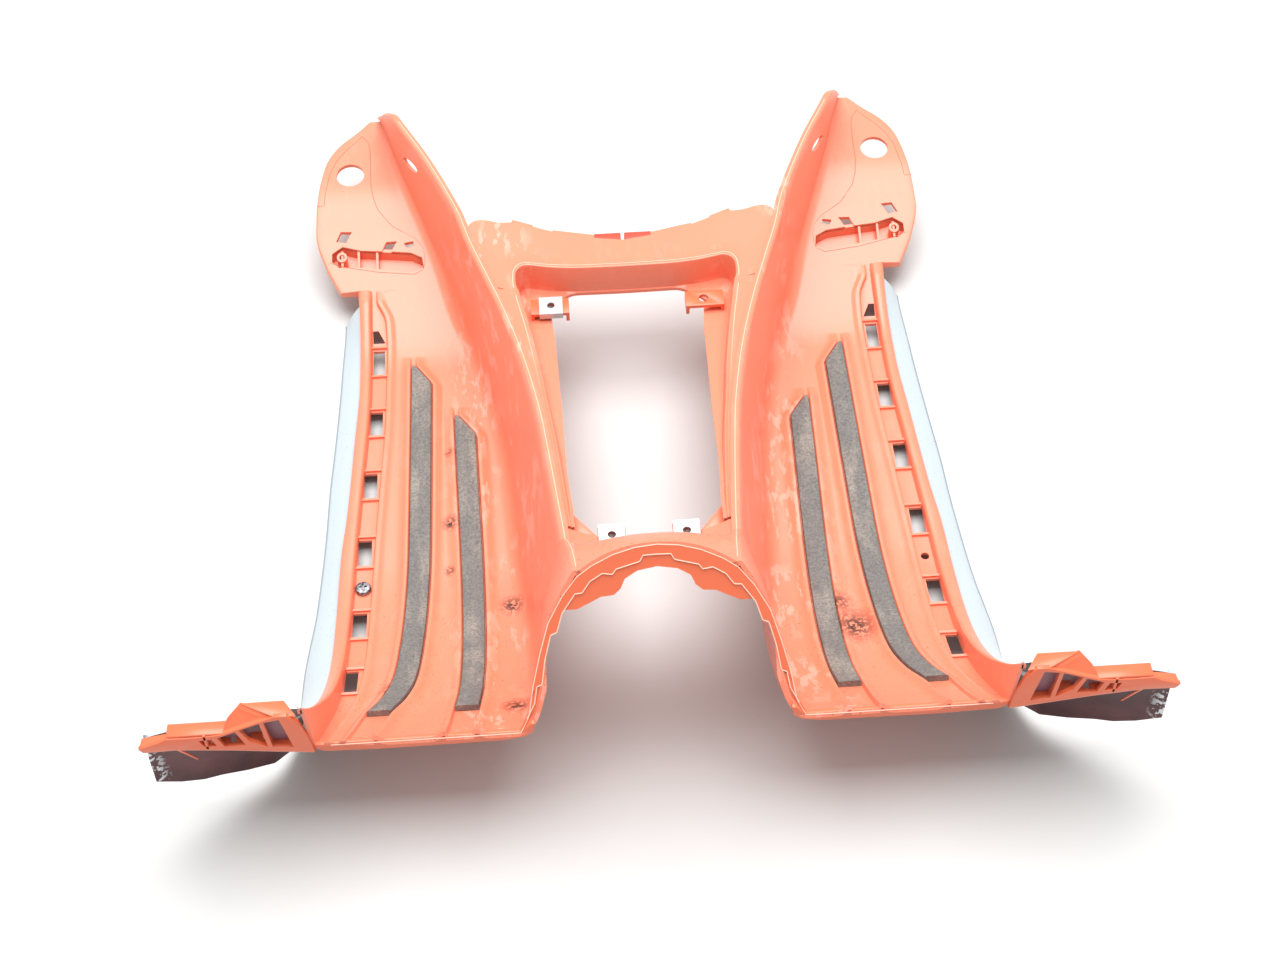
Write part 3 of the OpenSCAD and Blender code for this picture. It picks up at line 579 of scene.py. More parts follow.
ear = {"hole": (190, 237), "holeRadius": 10,
       "pocket": [(203.4, 174), (196, 179), (183, 175.4), (160, 173.4), (148, 172), (140, 168),
                  (139, 160.5), (148, 157.6), (166, 160.4), (185, 163), (199, 163.6), (203.6, 168)],
       "slots": [[(193.4, 181.6), (200.5, 182.9), (197, 190.4), (189.1, 189.9)],
                 [(161.9, 172.9), (168.9, 172.6), (165.2, 180.8), (157.4, 181)],
                 [(145.4, 176.7), (151, 175.6), (152.5, 179.4), (146, 180.4)]],
       "ribs": (171, 184, 195.6), "ribWidth": 1.6, "depth": 9.1, "panWall": 2, "middle": (170, 168),
       "boss": (196.6, 171.6), "slopeFrom": 158, "slopeTo": 180}
slope = (floorAt(ear["slopeTo"]) - floorAt(ear["slopeFrom"])) / (ear["slopeTo"] - ear["slopeFrom"])


def alongEar(obj):
    # Lifts a part that is drawn on a level floor onto the ear's slope.
    middle = ear["middle"][1]
    for vert in obj.data.vertices:
        vert.co.z += (floorAt(middle) + slope * (vert.co.y * 1000 - middle)) / 1000
    return obj


def earPocket():
    return alongEar(plate("pocket", ear["pocket"], -ear["depth"], 20))


def panPoint(point):
    return [c + (ear["panWall"] if c > m else -ear["panWall"]) for c, m in zip(point, ear["middle"])]


pan = alongEar(plate("earPan", [panPoint(point) for point in ear["pocket"]], -11.3, -1.2))
cutWith(pan, earPocket())
cutWith(half, earPocket())
cutWith(half, tube("earHole", ear["hole"], ear["holeRadius"], 20, 80, 64))
for outline in ear["slots"]:
    cutWith(half, plate("slot", outline, 20, 60))
flankSlot = {"centre": (214, 79), "along": (11, -3.5), "across": (-2, 4.8), "side": 0.118}
slotOval = [[c + a * math.cos(turn) + b * math.sin(turn)
             for c, a, b in zip(flankSlot["centre"], flankSlot["along"], flankSlot["across"])]
            for turn in [2 * math.pi * k / 28 for k in range(28)]]
cutter = plate("flankSlot", slotOval, 0, 60)
cutter.data.transform(Matrix(((0, 0, 1, flankSlot["side"]), (1, 0, 0, 0), (0, 1, 0, 0), (0, 0, 0, 1))))
outward(cutter)
cutWith(half, cutter)
print("holes cut")

parts = [half, pan]
for x in ear["ribs"]:
    parts.append(alongEar(block("earRib", (x, 158.5, -9.5), (x + ear["ribWidth"], 176.6, -1.6))))
boss = alongEar(tube("earBoss", ear["boss"], 3.6, -9.5, -0.6, 32))
cutWith(boss, alongEar(tube("bossHole", ear["boss"], 1.9, -8, 6, 24)))
parts.append(boss)

# cross ribs of the empty channel, one at each end of each window
ribs = {"width": 1.6, "height": 3.1, "depth": 0.65, "beside": (2.0, -22.0)}


def ribNodes():
    group = bpy.data.node_groups.new("channelRibs", "GeometryNodeTree")
    group.interface.new_socket("Geometry", in_out="INPUT", socket_type="NodeSocketGeometry")
    for label, value in (("Rib width", ribs["width"]), ("Rib height", ribs["height"])):
        socket = group.interface.new_socket(label, in_out="INPUT", socket_type="NodeSocketFloat")
        socket.default_value = value / 1000
    group.interface.new_socket("Material", in_out="INPUT", socket_type="NodeSocketMaterial")
    group.interface.new_socket("Geometry", in_out="OUTPUT", socket_type="NodeSocketGeometry")
    given, result = group.nodes.new("NodeGroupInput"), group.nodes.new("NodeGroupOutput")
    stored = addNode(group, "GeometryNodeInputNamedAttribute", {"Name": "ribLength"}, data_type="FLOAT")
    length = [o for o in stored.outputs if o.enabled and o.name == "Attribute"][0]
    size = addNode(group, "ShaderNodeCombineXYZ", {"X": length, "Y": given.outputs["Rib width"],
                                                   "Z": given.outputs["Rib height"]}).outputs["Vector"]
    cube = addNode(group, "GeometryNodeMeshCube", {"Size": (1.0, 1.0, 1.0)}).outputs["Mesh"]
    placed = addNode(group, "GeometryNodeInstanceOnPoints", {
        "Points": given.outputs["Geometry"], "Instance": cube, "Scale": size}).outputs["Instances"]
    whole = addNode(group, "GeometryNodeRealizeInstances", {"Geometry": placed}).outputs["Geometry"]
    painted = addNode(group, "GeometryNodeSetMaterial", {
        "Geometry": whole, "Material": given.outputs["Material"]})
    group.links.new(painted.outputs["Geometry"], result.inputs["Geometry"])
    return group


centres, lengths = [], []
for far in channel["windows"]:
    for offset in ribs["beside"]:
        y = far + offset
        a, b = curveAt(bedA, y) - 0.4, curveAt(bedB, y) + 0.8
        centres.append(((a + b) / 2000, y / 1000, (floorAt(y) - ribs["depth"]) / 1000))
        lengths.append((b - a) / 1000)
ribRow = meshObject("channelRibs", centres, [])
ribRow.data.attributes.new("ribLength", "FLOAT", "POINT").data.foreach_set("value", lengths)
modifier = ribRow.modifiers.new("ribs", "NODES")
modifier.node_group = ribNodes()
for item in modifier.node_group.interface.items_tree:
    if item.item_type == "SOCKET" and item.in_out == "INPUT" and item.name == "Material":
        modifier[item.identifier] = plastic
applyModifiers(ribRow)
print("channel ribs:", len(ribRow.data.polygons), "faces")
parts.append(ribRow)


# tunnel top: shoulders, rear deck, front deck
rimX = [[-136, 45.5], [-110, 47.2], [-82, 49.5], [-58, 51.6], [-24, 55.8],
        [2, 58.8], [43, 65], [75, 71], [86, 72.6]]
openX = [[-120, 43.6], [-100, 45], [-77, 46.2], [-27, 47], [10, 48], [45, 49], [86, 52]]


def shelfAt(v):
    top = ridgeAt(v) - 3.4
    return top - 1.2 - (board["shelfDrop"] - 1.2) * smooth((v + 150) / 250 * 0.98)


def shoulderRing(v):
    xr, zr = curveAt(ridgeX, v), ridgeAt(v)
    xm, zm, zs = curveAt(rimX, v), zr - 3.4, shelfAt(v)
    xo, t = curveAt(openX, v), board["wall"]
    top = [(xr - 4, zr - 0.9), (mixed(xr, xm, 0.45), zr - 2.3), (mixed(xr, xm, 0.8), zr - 3.0),
           (xm + 1.6, zm), (xm + 0.8, zm + 0.35), (xm + 0.1, zm + 0.1), (xm - 0.4, zm - 1.0),
           (xm - 1.0, mixed(zm, zs, 0.8)), (xm - 1.4, zs + 0.5), (xm - 2.4, zs),
           (mixed(xm, xo, 0.6), zs - 0.2), (xo, zs - 0.4)]
    low = [(xo, zs - t - 0.4), (mixed(xm, xo, 0.6), zs - t - 0.2), (xm + t - 1.6, zs - t),
           (xm + t - 1.2, zs - t + 0.4), (xm + t - 0.6, mixed(zm, zs, 0.8)), (xm + t - 0.2, zm - 1.4),
           (xm + t + 0.2, zm - t + 0.2), (xm + t + 0.8, zm - t), (xm + t + 1.6, zm - t),
           (mixed(xr, xm, 0.7), zr - 3 - t), (mixed(xr, xm, 0.4), zr - 2.3 - t), (xr - 4, zr - 1.6 - t)]
    return [put(v, x, z) for x, z in top + low]


shoulder = lofted("shoulder", [shoulderRing(v) for v in stations(-136, 77, 4)])
parts.append(shoulder)
for part in parts:
    shade(part)
right = joined("mouldingRight", parts)
left = mirroredX(right, "mouldingLeft")

# one row from the middle of the rear edge round to the side: rim x, y, outer x, y, shelf x, y
deckRows = [(0, 91.4, 0, 117.6, 0, 89.8), (17, 91.6, 18, 120.4, 17, 90), (33, 92, 36, 124, 33, 90.2),
            (48, 93.6, 55, 130.6, 46, 84), (58, 95.6, 68, 136, 51, 80), (65.4, 97, 82, 136.6, 53, 77),
            (70.4, 94.6, 94.4, 139.4, 54, 75), (72.6, 88.6, 103.4, 131, 54, 73),
            (72.4, 80.6, 96, 101, 53.5, 70), (70.8, 74, 88, 78, 53, 68)]
deckTables = [[[q, row[k]] for q, row in enumerate(deckRows)] for k in range(6)]
rearEdgeZ = ridgeAt(148) - 5.5


def deckPoints(q):
    r = np.array([curveAt(table, q) for table in deckTables])
    return r[0:2], r[2:4], r[4:6]


def towards(start, end):
    return (end - start) / max(np.linalg.norm(end - start), 1e-6)


def deckRing(q):
    rim, outer, shelf = deckPoints(q)
    zr, t = ridgeAt(rim[1]), board["wall"]
    far = rearEdgeZ + 4 * smooth(q / 7)
    zo = far if q <= 7 else mixed(far, ridgeAt(outer[1]) - 1.6, smooth(q - 7))
    zm, zs = zr - 3.4, shelfAt(rim[1])
    d, e = towards(rim, outer), towards(rim, shelf)
    top = [(outer, zo), (mixed(rim, outer, 0.66), mixed(zm, zo, 0.66)),
           (mixed(rim, outer, 0.33), mixed(zm, zo, 0.33) - 0.3), (rim + d * 2.2, zm),
           (rim + d * 1.2, zm + 0.35), (rim + d * 0.4, zm + 0.1), (rim, zm - 1.0),
           (rim + e * 0.5, mixed(zm, zs, 0.8)), (rim + e * 0.9, zs + 0.3), (rim + e * 1.2, zs),
           (shelf, zs - 0.4)]
    low = [(shelf, zs - t - 0.4), (rim + e * 0.6, zs - t), (rim + d * (t - 0.6), zs - t + 0.3),
           (rim + d * t, mixed(zm, zs, 0.8)), (rim + d * (t + 0.1), mixed(zm, zs, 0.3)),
           (rim + d * (t + 0.4), zm - t), (rim + d * (t + 1), zm - t), (rim + d * (t + 2), zm - t),
           (mixed(rim, outer, 0.4), mixed(zm, zo, 0.4) - t),
           (mixed(rim, outer, 0.66), mixed(zm, zo, 0.66) - t), (outer, zo - t)]
    return [(p[0], p[1], z) for p, z in top + low]


oneSide = [deckRing(q) for q in stations(0, 9.001, 0.15)]
otherSide = [[(-x, y, z) for x, y, z in ring] for ring in reversed(oneSide[1:])]
rearDeck = lofted("rearDeck", otherSide + oneSide)
crown = [[-250, 172], [-225, 158], [-200, 141], [-175, 122], [-150, 103], [-136, 96.5]]


def frontRing(v):
    xr, zr = curveAt(ridgeX, v) - 3, ridgeAt(v) - 1.0
    zc, t = board["floorZ"] + curveAt(crown, v), board["wall"] * (1 + 0.5 * smooth((-140 - v) / 60))
    top = [(w * xr, zr + (zc - zr) * (1 - abs(w) ** 2.3)) for w in np.linspace(-1, 1, 41)]
    return [put(v, x, z) for x, z in top] + [put(v, x, z - t) for x, z in reversed(top)]


frontDeck = lofted("frontDeck", [frontRing(v) for v in stations(-250, -137, 3.5)])
for side in (-1, 1):
    cutWith(frontDeck, block("lugRelief", (side * 22 - 8.6, -146.4, 90), (side * 22 + 8.6, -110, 140)))
print("tunnel top ready")


# flanges, lugs, tabs
def bevelled(obj, width=0.6, segments=2):
    mod = obj.modifiers.new("edge", "BEVEL")
    mod.width, mod.segments, mod.limit_method = width / 1000, segments, "ANGLE"
    mod.angle_limit = math.radians(40)
    applyModifiers(obj)
    return obj


# the arch's curves as [x, z], from the top or the foot of its right leg
archOut = [(0, 183.2), (12, 182.2), (24, 179.2), (36, 174), (44, 169), (52.5, 159.4), (61, 146),
           (66.6, 130), (71.6, 113), (75, 97), (80, 88.6)]
archIn = [(72, 98), (70, 104), (67.5, 112), (64.5, 122), (60.5, 137), (55, 150.4), (52, 151.9),
          (45, 151.7), (37.5, 154.8), (31.5, 157.5), (24.4, 158), (20.5, 161), (18, 166), (11, 169.8),
          (0, 171.5)]
joggle = [(76.2, 96), (71.4, 104), (69.5, 113), (66.5, 114), (64, 127), (60, 140), (56.6, 141),
          (53, 151), (45.4, 160.5), (41.5, 160.8), (37, 166.4), (30, 170.2), (24.6, 169.4),
          (22.4, 172), (9.4, 175.2), (7.6, 178.2), (0, 178.4)]


def leaned(obj):
    for vert in obj.data.vertices:
        vert.co.y += lean["slope"] * (vert.co.z - frontFloor / 1000)
    return obj


def resampled(points, count):
    p = np.array(points, float)
    run = np.concatenate([[0], np.cumsum(np.linalg.norm(np.diff(p, axis=0), axis=1))])
    return [[float(np.interp(u * run[-1], run, p[:, k])) for k in (0, 1)]
            for u in np.linspace(0, 1, count)]


def horseshoe(name, inner, front, back):
    # Leaning plate between the arch's outer curve and an inner one, as quads across its width.
    outer, inner = resampled(list(reversed(archOut)), 150), resampled(inner, 150)
    pairs = list(zip(outer, inner))
    pairs += [([-o[0], o[1]], [-i[0], i[1]]) for o, i in reversed(pairs[:-1])]
    return leaned(lofted(name, [[(o[0], front, o[1]), (o[0], back, o[1]),
                                 (i[0], back, i[1]), (i[0], front, i[1])] for o, i in pairs]))


archPlate = horseshoe("archFlange", archIn, -249.8, -247.1)
archBand = horseshoe("archBand", joggle, -250.6, -249.7)
footEdge = [(74, 97), (71.6, 97), (73, 88), (78, 83), (90, 80.4), (157, 79.6), (190, 81), (197.6, 86),
            (197.6, 89), (186, 88), (80, 88)]
cornerOutline = [(29, -139), (30, -134), (46, -114), (48.4, -116), (48.4, -141)]
lugs = {"holeRadius": 3.25, "rearHole": (50.6, 72), "rearTop": shelfAt(72) + 6.6,
        "frontHole": (22, -136.5), "frontTop": 112}
extras = [rearDeck, frontDeck, archPlate, archBand]


def fromBoth(make, *values):
    one = make(*values)
    extras.extend([one, mirroredX(one, one.name + "Left")])


def footFlange():
    return bevelled(plate("footFlange", footEdge, -250.3, -247.2, "xz"))


def rearLug():
    top = lugs["rearTop"]
    body = block("rearLug", (38.6, 65.6, top - 7.8), (63.8, 78.6, top))
    cutWith(body, block("hollow", (40.8, 60, top - 9), (61.6, 82, top - 2.5)))
    cutWith(body, tube("lugHole", lugs["rearHole"], lugs["holeRadius"], top - 9, top + 3, 32))
    return bevelled(body, 0.7)


def frontLug():
    top = lugs["frontTop"]
    body = block("frontLug", (13.8, -148.4, top - 2.4), (30.2, -130.2, top))
    cutWith(body, tube("lugHole", lugs["frontHole"], lugs["holeRadius"], top - 9, top + 3, 32))
    return bevelled(body, 0.5)


def cornerShelf():
    return bevelled(plate("cornerShelf", cornerOutline, 105.4, 107.8), 0.5)


def rearTab(x, y, z, angle, width):
    tab = block("rearTab", (-width / 2, -3.2, 0), (width / 2, 4, 2.2))
    turn = Matrix.Rotation(math.radians(angle), 4, "Z")
    tab.data.transform(Matrix.Translation((x / 1000, y / 1000, z / 1000)) @ turn)
    return bevelled(tab, 0.5)


for make in (footFlange, rearLug, frontLug, cornerShelf):
    fromBoth(make)
fromBoth(rearTab, 68, 133.4, rearEdgeZ - 0.4, 24, 15)
fromBoth(rearTab, 33.5, 122.6, rearEdgeZ - 1.8, 13, 29)
centreTabs = []
for side in (-1, 1):
    low, high = sorted((side * 1.2, side * 19.4))
    tab = block("centreTab", (low, 117, rearEdgeZ - 6), (high, 124.6, rearEdgeZ - 0.2))
    centreTabs.append(bevelled(tab, 0.5))

# front wings; the squash draws what is above squashFrom lower than it is listed
wing = {
    "outline": [(195, 84), (240, 92), (270, 96), (288, 95), (290, 99), (279, 105.5), (273, 111),
                (262, 110.5), (250, 111), (243, 112.5), (212, 133.5), (205, 134), (200, 124), (197, 104)],
    "windows": [[(209.6, 129.4), (218.4, 126.4), (217.2, 92.6), (206, 91)],
                [(220.8, 125.4), (232.6, 117.4), (229, 101), (219.8, 93.4)],
                [(235, 115.4), (245.6, 108.2), (243, 96), (231.4, 97)],
                [(249, 106.6), (256, 105.8), (254, 97.8), (247, 97.6)]],
    "squashFrom": 0.1, "squash": 0.74, "sheet": 1.8, "gusset": 1, "innerEnd": 0.19,
    "backPlace": -245.5, "backWall": 1.2,
    "backs": [[(204, 91), (219, 92), (219.6, 127), (208, 129)],
              [(228.6, 97), (246, 97), (246, 107), (232, 115)]],
}
wingSheets = {
    "wingSlope": [(212, -250.8, 133), (243, -250.8, 112), (240, -241.5, 113.4), (231, -241.4, 132.4)],
    "wingTop": [(200, -251, 131.5), (213, -251, 134), (231, -241.4, 132.8), (207, -241, 132.2)],
    "wingShelf": [(239, -251, 113.2), (273, -251, 112.8), (273, -242.4, 111.4), (239, -242.4, 111.4)],
    "wingTip": [(272, -251, 105.8), (289.6, -251, 99.6), (289, -244.6, 98.6), (272, -244.4, 103.7)],
    "wingLedge": [(204, -251, 91.2), (238, -251, 92), (238, -240.4, 91.2), (204, -240.4, 91.2)],
    "wingLedgeOuter": [(240, -251, 95.8), (286, -251, 96.6), (286, -243.4, 95.8), (240, -243.4, 95.8)],
    "wingPost": [(217, -251, 91), (219.6, -251, 105), (219.6, -242, 105), (217, -242, 91)],
    "wingRib": [(251.6, -252, 94.6), (251.6, -252, 112.6), (251.6, -243, 111.6), (251.6, -243, 94.6)],
}
gusset = [(268, -251, 96), (270, -251, 96), (263, -245.4, 74), (262, -245.4, 74)]


def wingFrame():
    body = plate("wingFrame", wing["outline"], -252, -249.6, "xz")
    for outline in wing["windows"]:
        cutWith(body, plate("wingWindow", outline, -256, -245, "xz"))
    return bevelled(body, 0.5)


def sheetQuad(name, corners, thickness):
    # A thin plate on four corners in millimetres.
    c = [Vector(k) for k in corners]
    n = (c[1] - c[0]).cross(c[3] - c[0]).normalized() * thickness
    points = c + [k - n for k in c]
    obj = meshObject(name, [k / 1000 for k in points],
                     [(0, 1, 2, 3), (7, 6, 5, 4), (0, 4, 5, 1), (1, 5, 6, 2), (2, 6, 7, 3), (3, 7, 4, 0)])
    outward(obj)
    return bevelled(obj, 0.3, 1)


def squashed(z):
    start = wing["squashFrom"]
    return z if z <= start else start + (z - start) * wing["squash"]


fromBoth(wingFrame)
for name, corners in wingSheets.items():
    fromBoth(sheetQuad, name, corners, wing["sheet"])
fromBoth(sheetQuad, "wingGusset", gusset, wing["gusset"])
for part in extras:
    if part.name.startswith("wing"):
        for vert in part.data.vertices:
            vert.co.z = squashed(vert.co.z)
for part in extras + centreTabs:
    shade(part, 38)
darkPanels = []
for outline in wing["backs"]:
    one = plate("wingBack", [(x, squashed(z / 1000) * 1000) for x, z in outline],
                wing["backPlace"] - wing["backWall"], wing["backPlace"], "xz")
    one.data.materials.append(mauvePlastic)
    darkPanels += [one, mirroredX(one, "wingBackLeft")]
print("flanges, lugs and wings ready")


# thin lines on the surface: painted shade in steps, painted highlight on edges, painted contact shadow under
# the skirts
def paintedLine(name, points, radius=0.32, paint=None):
    rings = []
    for i, point in enumerate(points):
        a, b = Vector(points[max(i - 1, 0)]), Vector(points[min(i + 1, len(points) - 1)])
        along = (b - a).normalized()
        side = along.cross(Vector((0, 0, 1)))
        side = side.normalized() if side.length > 1e-4 else Vector((1, 0, 0))
        up = side.cross(along)
        rings.append([tuple(Vector(point) + side * radius * math.cos(k * math.pi / 2)
                            + up * radius * math.sin(k * math.pi / 2)) for k in range(4)])
    obj = lofted(name, rings)
    obj.data.materials.append(paint or stepShadePaint)
    return obj


def onFloor(path, sunk=0.2):
    # The path on the ear, in quarter steps; only its upper edge shows.
    dense = [(mixed(x0, x1, k / 4), mixed(y0, y1, k / 4))
             for (x0, y0), (x1, y1) in zip(path, path[1:]) for k in range(4)]
    return [(x, y, floorAt(y) - sunk) for x, y in dense + [path[-1]]]


earStep = [(181.8, 273), (177.5, 267), (175.9, 259.7), (175.4, 243), (175.2, 227.4), (173.6, 216),
           (170.4, 206.2), (160.7, 193), (151, 186.6), (144.7, 182.7), (139.8, 176.5), (138, 169.5),
           (138.2, 163.6), (139.6, 159), (145.5, 156), (170.2, 158.7), (194.8, 163.8), (205, 167.4)]
earJoggle = [(213.6, 211.5), (208.8, 211.5), (207.8, 222), (204.6, 240), (200, 251), (193, 260.6),
             (186, 268), (181.8, 273)]
paintedLines = []


def bothLines(name, points, radius=0.32, paint=None):
    line = paintedLine(name, points, radius, paint)
    paintedLines.extend([line, mirroredX(line, name + "Left")])


# thin lines of painted highlight along lit edges
def paleLine(name, points, radius=0.3):
    bothLines(name, points, radius, glintPaint)


def onArch(points, front):
    return [(x, front + lean["slope"] * (z - frontFloor), z) for x, z in points]


def rearRimPoint(q):
    rim, outer, _ = deckPoints(q)
    x, y = rim + towards(rim, outer) * 2.9
    return x, y, ridgeAt(rim[1]) - 3.3


bothLines("earStepLine", onFloor(earStep))
bothLines("earJoggleLine", onFloor(earJoggle))
paleLine("rimLine", [put(v, curveAt(rimX, v) + 3.0, ridgeAt(v) - 3.1) for v in stations(-128, 73, 6)])
paleLine("rearRimLine", [rearRimPoint(q) for q in stations(0, 8.9, 0.3)])
paleLine("archStepLine", onArch(resampled(joggle, 120), -250.7), 0.36)
paleLine("archEdgeLine", onArch(resampled(archOut, 90), -250.5))
paleLine("footEdgeLine", [(80, -250.4, 88.2), (100, -250.4, 88), (130, -250.4, 88),
                          (160, -250.4, 88), (186, -250.4, 88.1)], 0.32)
paleLine("wingFootLine", [(196, -251.7, 83.9), (218, -251.7, 87.8), (240, -251.7, 91.8),
                          (270, -251.7, 95.8), (287, -251.7, 94.9)])
paleLine("ridgeLine", [put(v, curveAt(ridgeX, v) - 3.2, ridgeAt(v) - 0.05)
                       for v in stations(-246, 236, 6)], 0.26)

# wing fronts, arch, foot flanges and rear lugs take the painted shade
inShade = [part for part in extras if part.name.startswith(("wing", "arch", "foot", "rearLug"))]
frontFaces = joined("shadedFrontFaces", inShade)
repaint(frontFaces, shadedFrontPlastic)
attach(frontFaces, "root")
moulding = joined("panelMoulding", [right, left] + [part for part in extras if part not in inShade])
repaint(moulding, plastic)
for tab in darkPanels:
    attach(tab, "root")
# the centre tabs take the painted shade
for tab in centreTabs:
    tab.data.materials.append(darkPlastic)
    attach(tab, "root")
for line in paintedLines:
    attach(line, "root")
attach(moulding, "root")
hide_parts("floor_panel")
print("moulding:", len(moulding.data.polygons), "faces")


# side skirts
skirtX = [[-236, 224], [-218, 219.5], [-200, 217.8], [-155, 216.6], [-133, 214], [-110, 210.6], [-80, 208],
          [-46, 205.8], [-10, 204.4], [25, 202], [66, 199.6], [96, 198.4], [130, 197], [143, 197]]
skirtY = [[-247, -214], [-236, -210], [-215, -199], [-188, -180], [-153, -151.5], [-120, -119.6], [143, 143]]
skirtZ = [[-236, 11], [-215, 7], [-200, 4], [-180, 1.6], [-153, 0], [143, 0]]
skirtB = [[-236, 7], [-200, 5], [-172, 3.5], [-133, 2], [-90, 1.2], [143, 1]]
# the skirt's rows behind the wing: top x, y, z, bottom x, y, z and swell
wingRows = [(201.4, -239.4, 118, 230, -217.6, 16, 8), (216, -239, 119, 244, -226, 25, 8),
            (231, -239, 115, 257, -233, 34, 8), (241, -240, 106.5, 266, -238, 39, 6),
            (264, -240.6, 105, 277, -243, 47, 4), (288.4, -242.6, 98, 289.6, -246.9, 56, 1.5)]
skirtForm = {"wall": (-2.0, 0, 0), "wingWall": (-0.6, -2.0, 0), "swell": (1, -0.1, 0.3),
             "wingSwell": (0.52, 0.8, 0.25), "points": 13, "hang": 6.5, "edgeRadius": 0.38,
             "edgeAt": (0.05, 0, 0.5)}
skirtPlaces = stations(136, -237, -6)


def skirtRow(v):
    top = floorAt(v) + curveAt(lipRise, v) * board["lip"] / 5 - skirtForm["hang"]
    a = np.array(put(v, curveAt(edgeX, v), top))
    b = np.array([curveAt(table, v) for table in (skirtX, skirtY, skirtZ)])
    return a, b, curveAt(skirtB, v) * np.array(skirtForm["swell"]), np.array(skirtForm["wall"])


def wingRow(r):
    return (np.array(r[0:3], float), np.array(r[3:6], float),
            np.array(skirtForm["wingSwell"]) * r[6], np.array(skirtForm["wingWall"]))


def skirtRing(row):
    a, b, swell, wall = row
    outer = [mixed(a, b, u) + swell * math.sin(math.pi * min(u * 0.93 + 0.03, 1))
             for u in np.linspace(0, 1, skirtForm["points"])]
    outer[-1] = b
    return [tuple(p) for p in outer] + [tuple(p + wall) for p in reversed(outer)]


skirtRows = [skirtRow(v) for v in skirtPlaces]
rowTables = [np.concatenate(row) for row in [skirtRows[-1]] + [wingRow(r) for r in wingRows]]
for one, other in zip(rowTables, rowTables[1:]):
    for u in (0.25, 0.5, 0.75, 1.0):
        skirtRows.append(np.split(mixed(one, other, u), 4))
skirt = lofted("rightSkirt", [skirtRing(row) for row in skirtRows])
skirt.data.materials.append(palePaint)
skirt.data.materials.append(innerSkin)
ringCount = 2 * skirtForm["points"]
for polygon in skirt.data.polygons:
    if all(v % ringCount >= skirtForm["points"] for v in polygon.vertices):
        polygon.material_index = 1
for vert in skirt.data.vertices:
    if vert.co.x > wing["innerEnd"]:
        vert.co.z = squashed(vert.co.z)
shade(skirt, 40)
skirtLeft = mirroredX(skirt, "leftSkirt")
# the skirt's lower edge takes a line of painted contact shadow
lowerEdge = [tuple(skirtRow(v)[1] + np.array(skirtForm["edgeAt"])) for v in skirtPlaces]
bothLines("skirtEdgeLine", lowerEdge, skirtForm["edgeRadius"], greyEdge)
for line in paintedLines[-2:]:
    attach(line, "root")
for obj, node in ((skirt, "right_side_skirt"), (skirtLeft, "left_side_skirt")):
    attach(obj, "root")
    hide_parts(node)


# rubber strips
def stripRing(v, table, tip):
    a, b, z = stripIn(v, table, tip), stripOut(v, table, tip), floorAt(v)
    top = z + board["stripTop"]
    line = [(a, z + 0.25), (a, top - 0.9), (a + 0.3, top - 0.3), (a + 0.9, top),
            (mixed(a, b, 0.33), top + 0.1), (mixed(a, b, 0.67), top + 0.1),
            (b - 0.9, top), (b - 0.3, top - 0.3), (b, top - 0.9), (b, z + 0.25)]
    return [put(v, min(x, b), h) for x, h in line]


strips = []
for name, node, table, tip in (("middleStrip", "middle_strip", middleC, middleTip),
                               ("innerStrip", "inner_strip", innerC, innerTip)):
    rows = stations(stripEnd, tip - 1, 3.5) + [tip - 0.6]
    strip = lofted("right" + name.capitalize(), [stripRing(v, table, tip) for v in rows])
    strip.data.materials.append(rubber)
    shade(strip, 35)
    stripLeft = mirroredX(strip, "left" + name.capitalize())
    for obj, side in ((strip, "right_"), (stripLeft, "left_")):
        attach(obj, "root")
        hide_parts(side + node)
        strips.append(obj)
print("skirts and strips ready")

# fasteners keep their solids
for node in ("left_rear_clip_nut", "left_front_clip_nut", "right_front_clip_nut"):
    repaint(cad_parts[node], zinc)
repaint(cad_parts["left_channel_screw"], oldZinc)

# places along the board are counted from a line 17 mm in front of the box's middle
countedFrom = -0.017
for obj in [moulding, frontFaces, skirt, skirtLeft] + strips + paintedLines + centreTabs + darkPanels:
    obj.data.transform(Matrix.Translation((0, countedFrom, 0)))

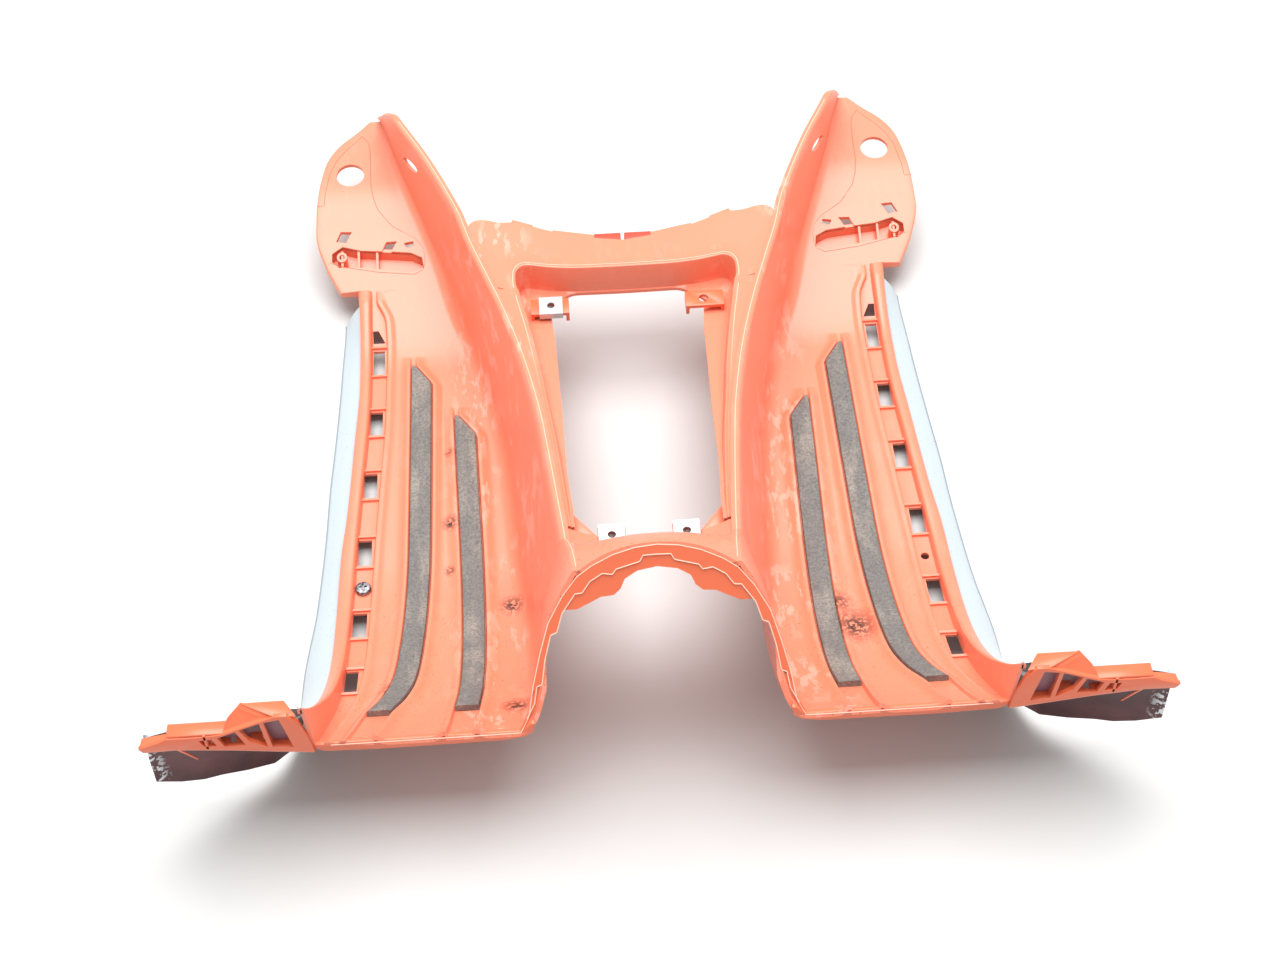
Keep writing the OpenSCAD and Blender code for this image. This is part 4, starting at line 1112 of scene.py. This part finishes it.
# floor, light and camera
studio = {"floorColour": "#c4c4c3", "floorRoughness": 0.7, "floorReach": 6,
          "roomColour": "#ffffff", "roomLight": 0.78,
          "lampPower": 90, "lampSize": 1.9, "lampAt": (0.0, 0.28, 2.3), "lampAim": (0, -0.05, 0),
          "camera": (-0.0427, -0.807, 1.046), "pitch": 53.4, "yaw": 3.29, "roll": 0.74,
          "sensor": 36, "focal": 1950 / 1280 * 36}
reach = studio["floorReach"]
floor = meshObject("studioFloor", [(-reach, -reach, 0), (reach, -reach, 0), (reach, reach, 0),
                                   (-reach, reach, 0)], [(0, 1, 2, 3)])
floor.data.materials.append(newPaint("paleFloor", studio["floorColour"], studio["floorRoughness"])[0])

world = bpy.data.worlds.new("softRoom")
bpy.context.scene.world = world
world.use_nodes = True
room = world.node_tree.nodes["Background"]
room.inputs["Color"].default_value = linear(studio["roomColour"])
room.inputs["Strength"].default_value = studio["roomLight"]

lampData = bpy.data.lights.new("softbox", "AREA")
lampData.energy, lampData.size = studio["lampPower"], studio["lampSize"]
lamp = bpy.data.objects.new("softbox", lampData)
lamp.location = studio["lampAt"]
lamp.rotation_euler = (Vector(studio["lampAim"]) - lamp.location).to_track_quat("-Z", "Y").to_euler()
bpy.context.scene.collection.objects.link(lamp)

# the camera stands where the photograph was taken
pitch, yaw, roll = (math.radians(studio[k]) for k in ("pitch", "yaw", "roll"))
rightAxis = Vector((math.cos(yaw), -math.sin(yaw), 0))
ahead = Vector((math.sin(yaw), math.cos(yaw), 0))
look = ahead * math.cos(pitch) - Vector((0, 0, 1)) * math.sin(pitch)
downAxis = -(ahead * math.sin(pitch) + Vector((0, 0, 1)) * math.cos(pitch))
rightRolled = rightAxis * math.cos(roll) + downAxis * math.sin(roll)
downRolled = -rightAxis * math.sin(roll) + downAxis * math.cos(roll)
cameraData = bpy.data.cameras.new("camera")
cameraData.sensor_fit = "HORIZONTAL"
cameraData.sensor_width, cameraData.lens = studio["sensor"], studio["focal"]
camera = bpy.data.objects.new("camera", cameraData)
axes = (rightRolled, -downRolled, -look, Vector(studio["camera"]))
camera.matrix_world = Matrix([[axis[k] for axis in axes] for k in range(3)] + [[0, 0, 0, 1]])
bpy.context.scene.collection.objects.link(camera)
bpy.context.scene.camera = camera
bpy.context.scene.view_settings.view_transform = "Standard"
print("studio ready")
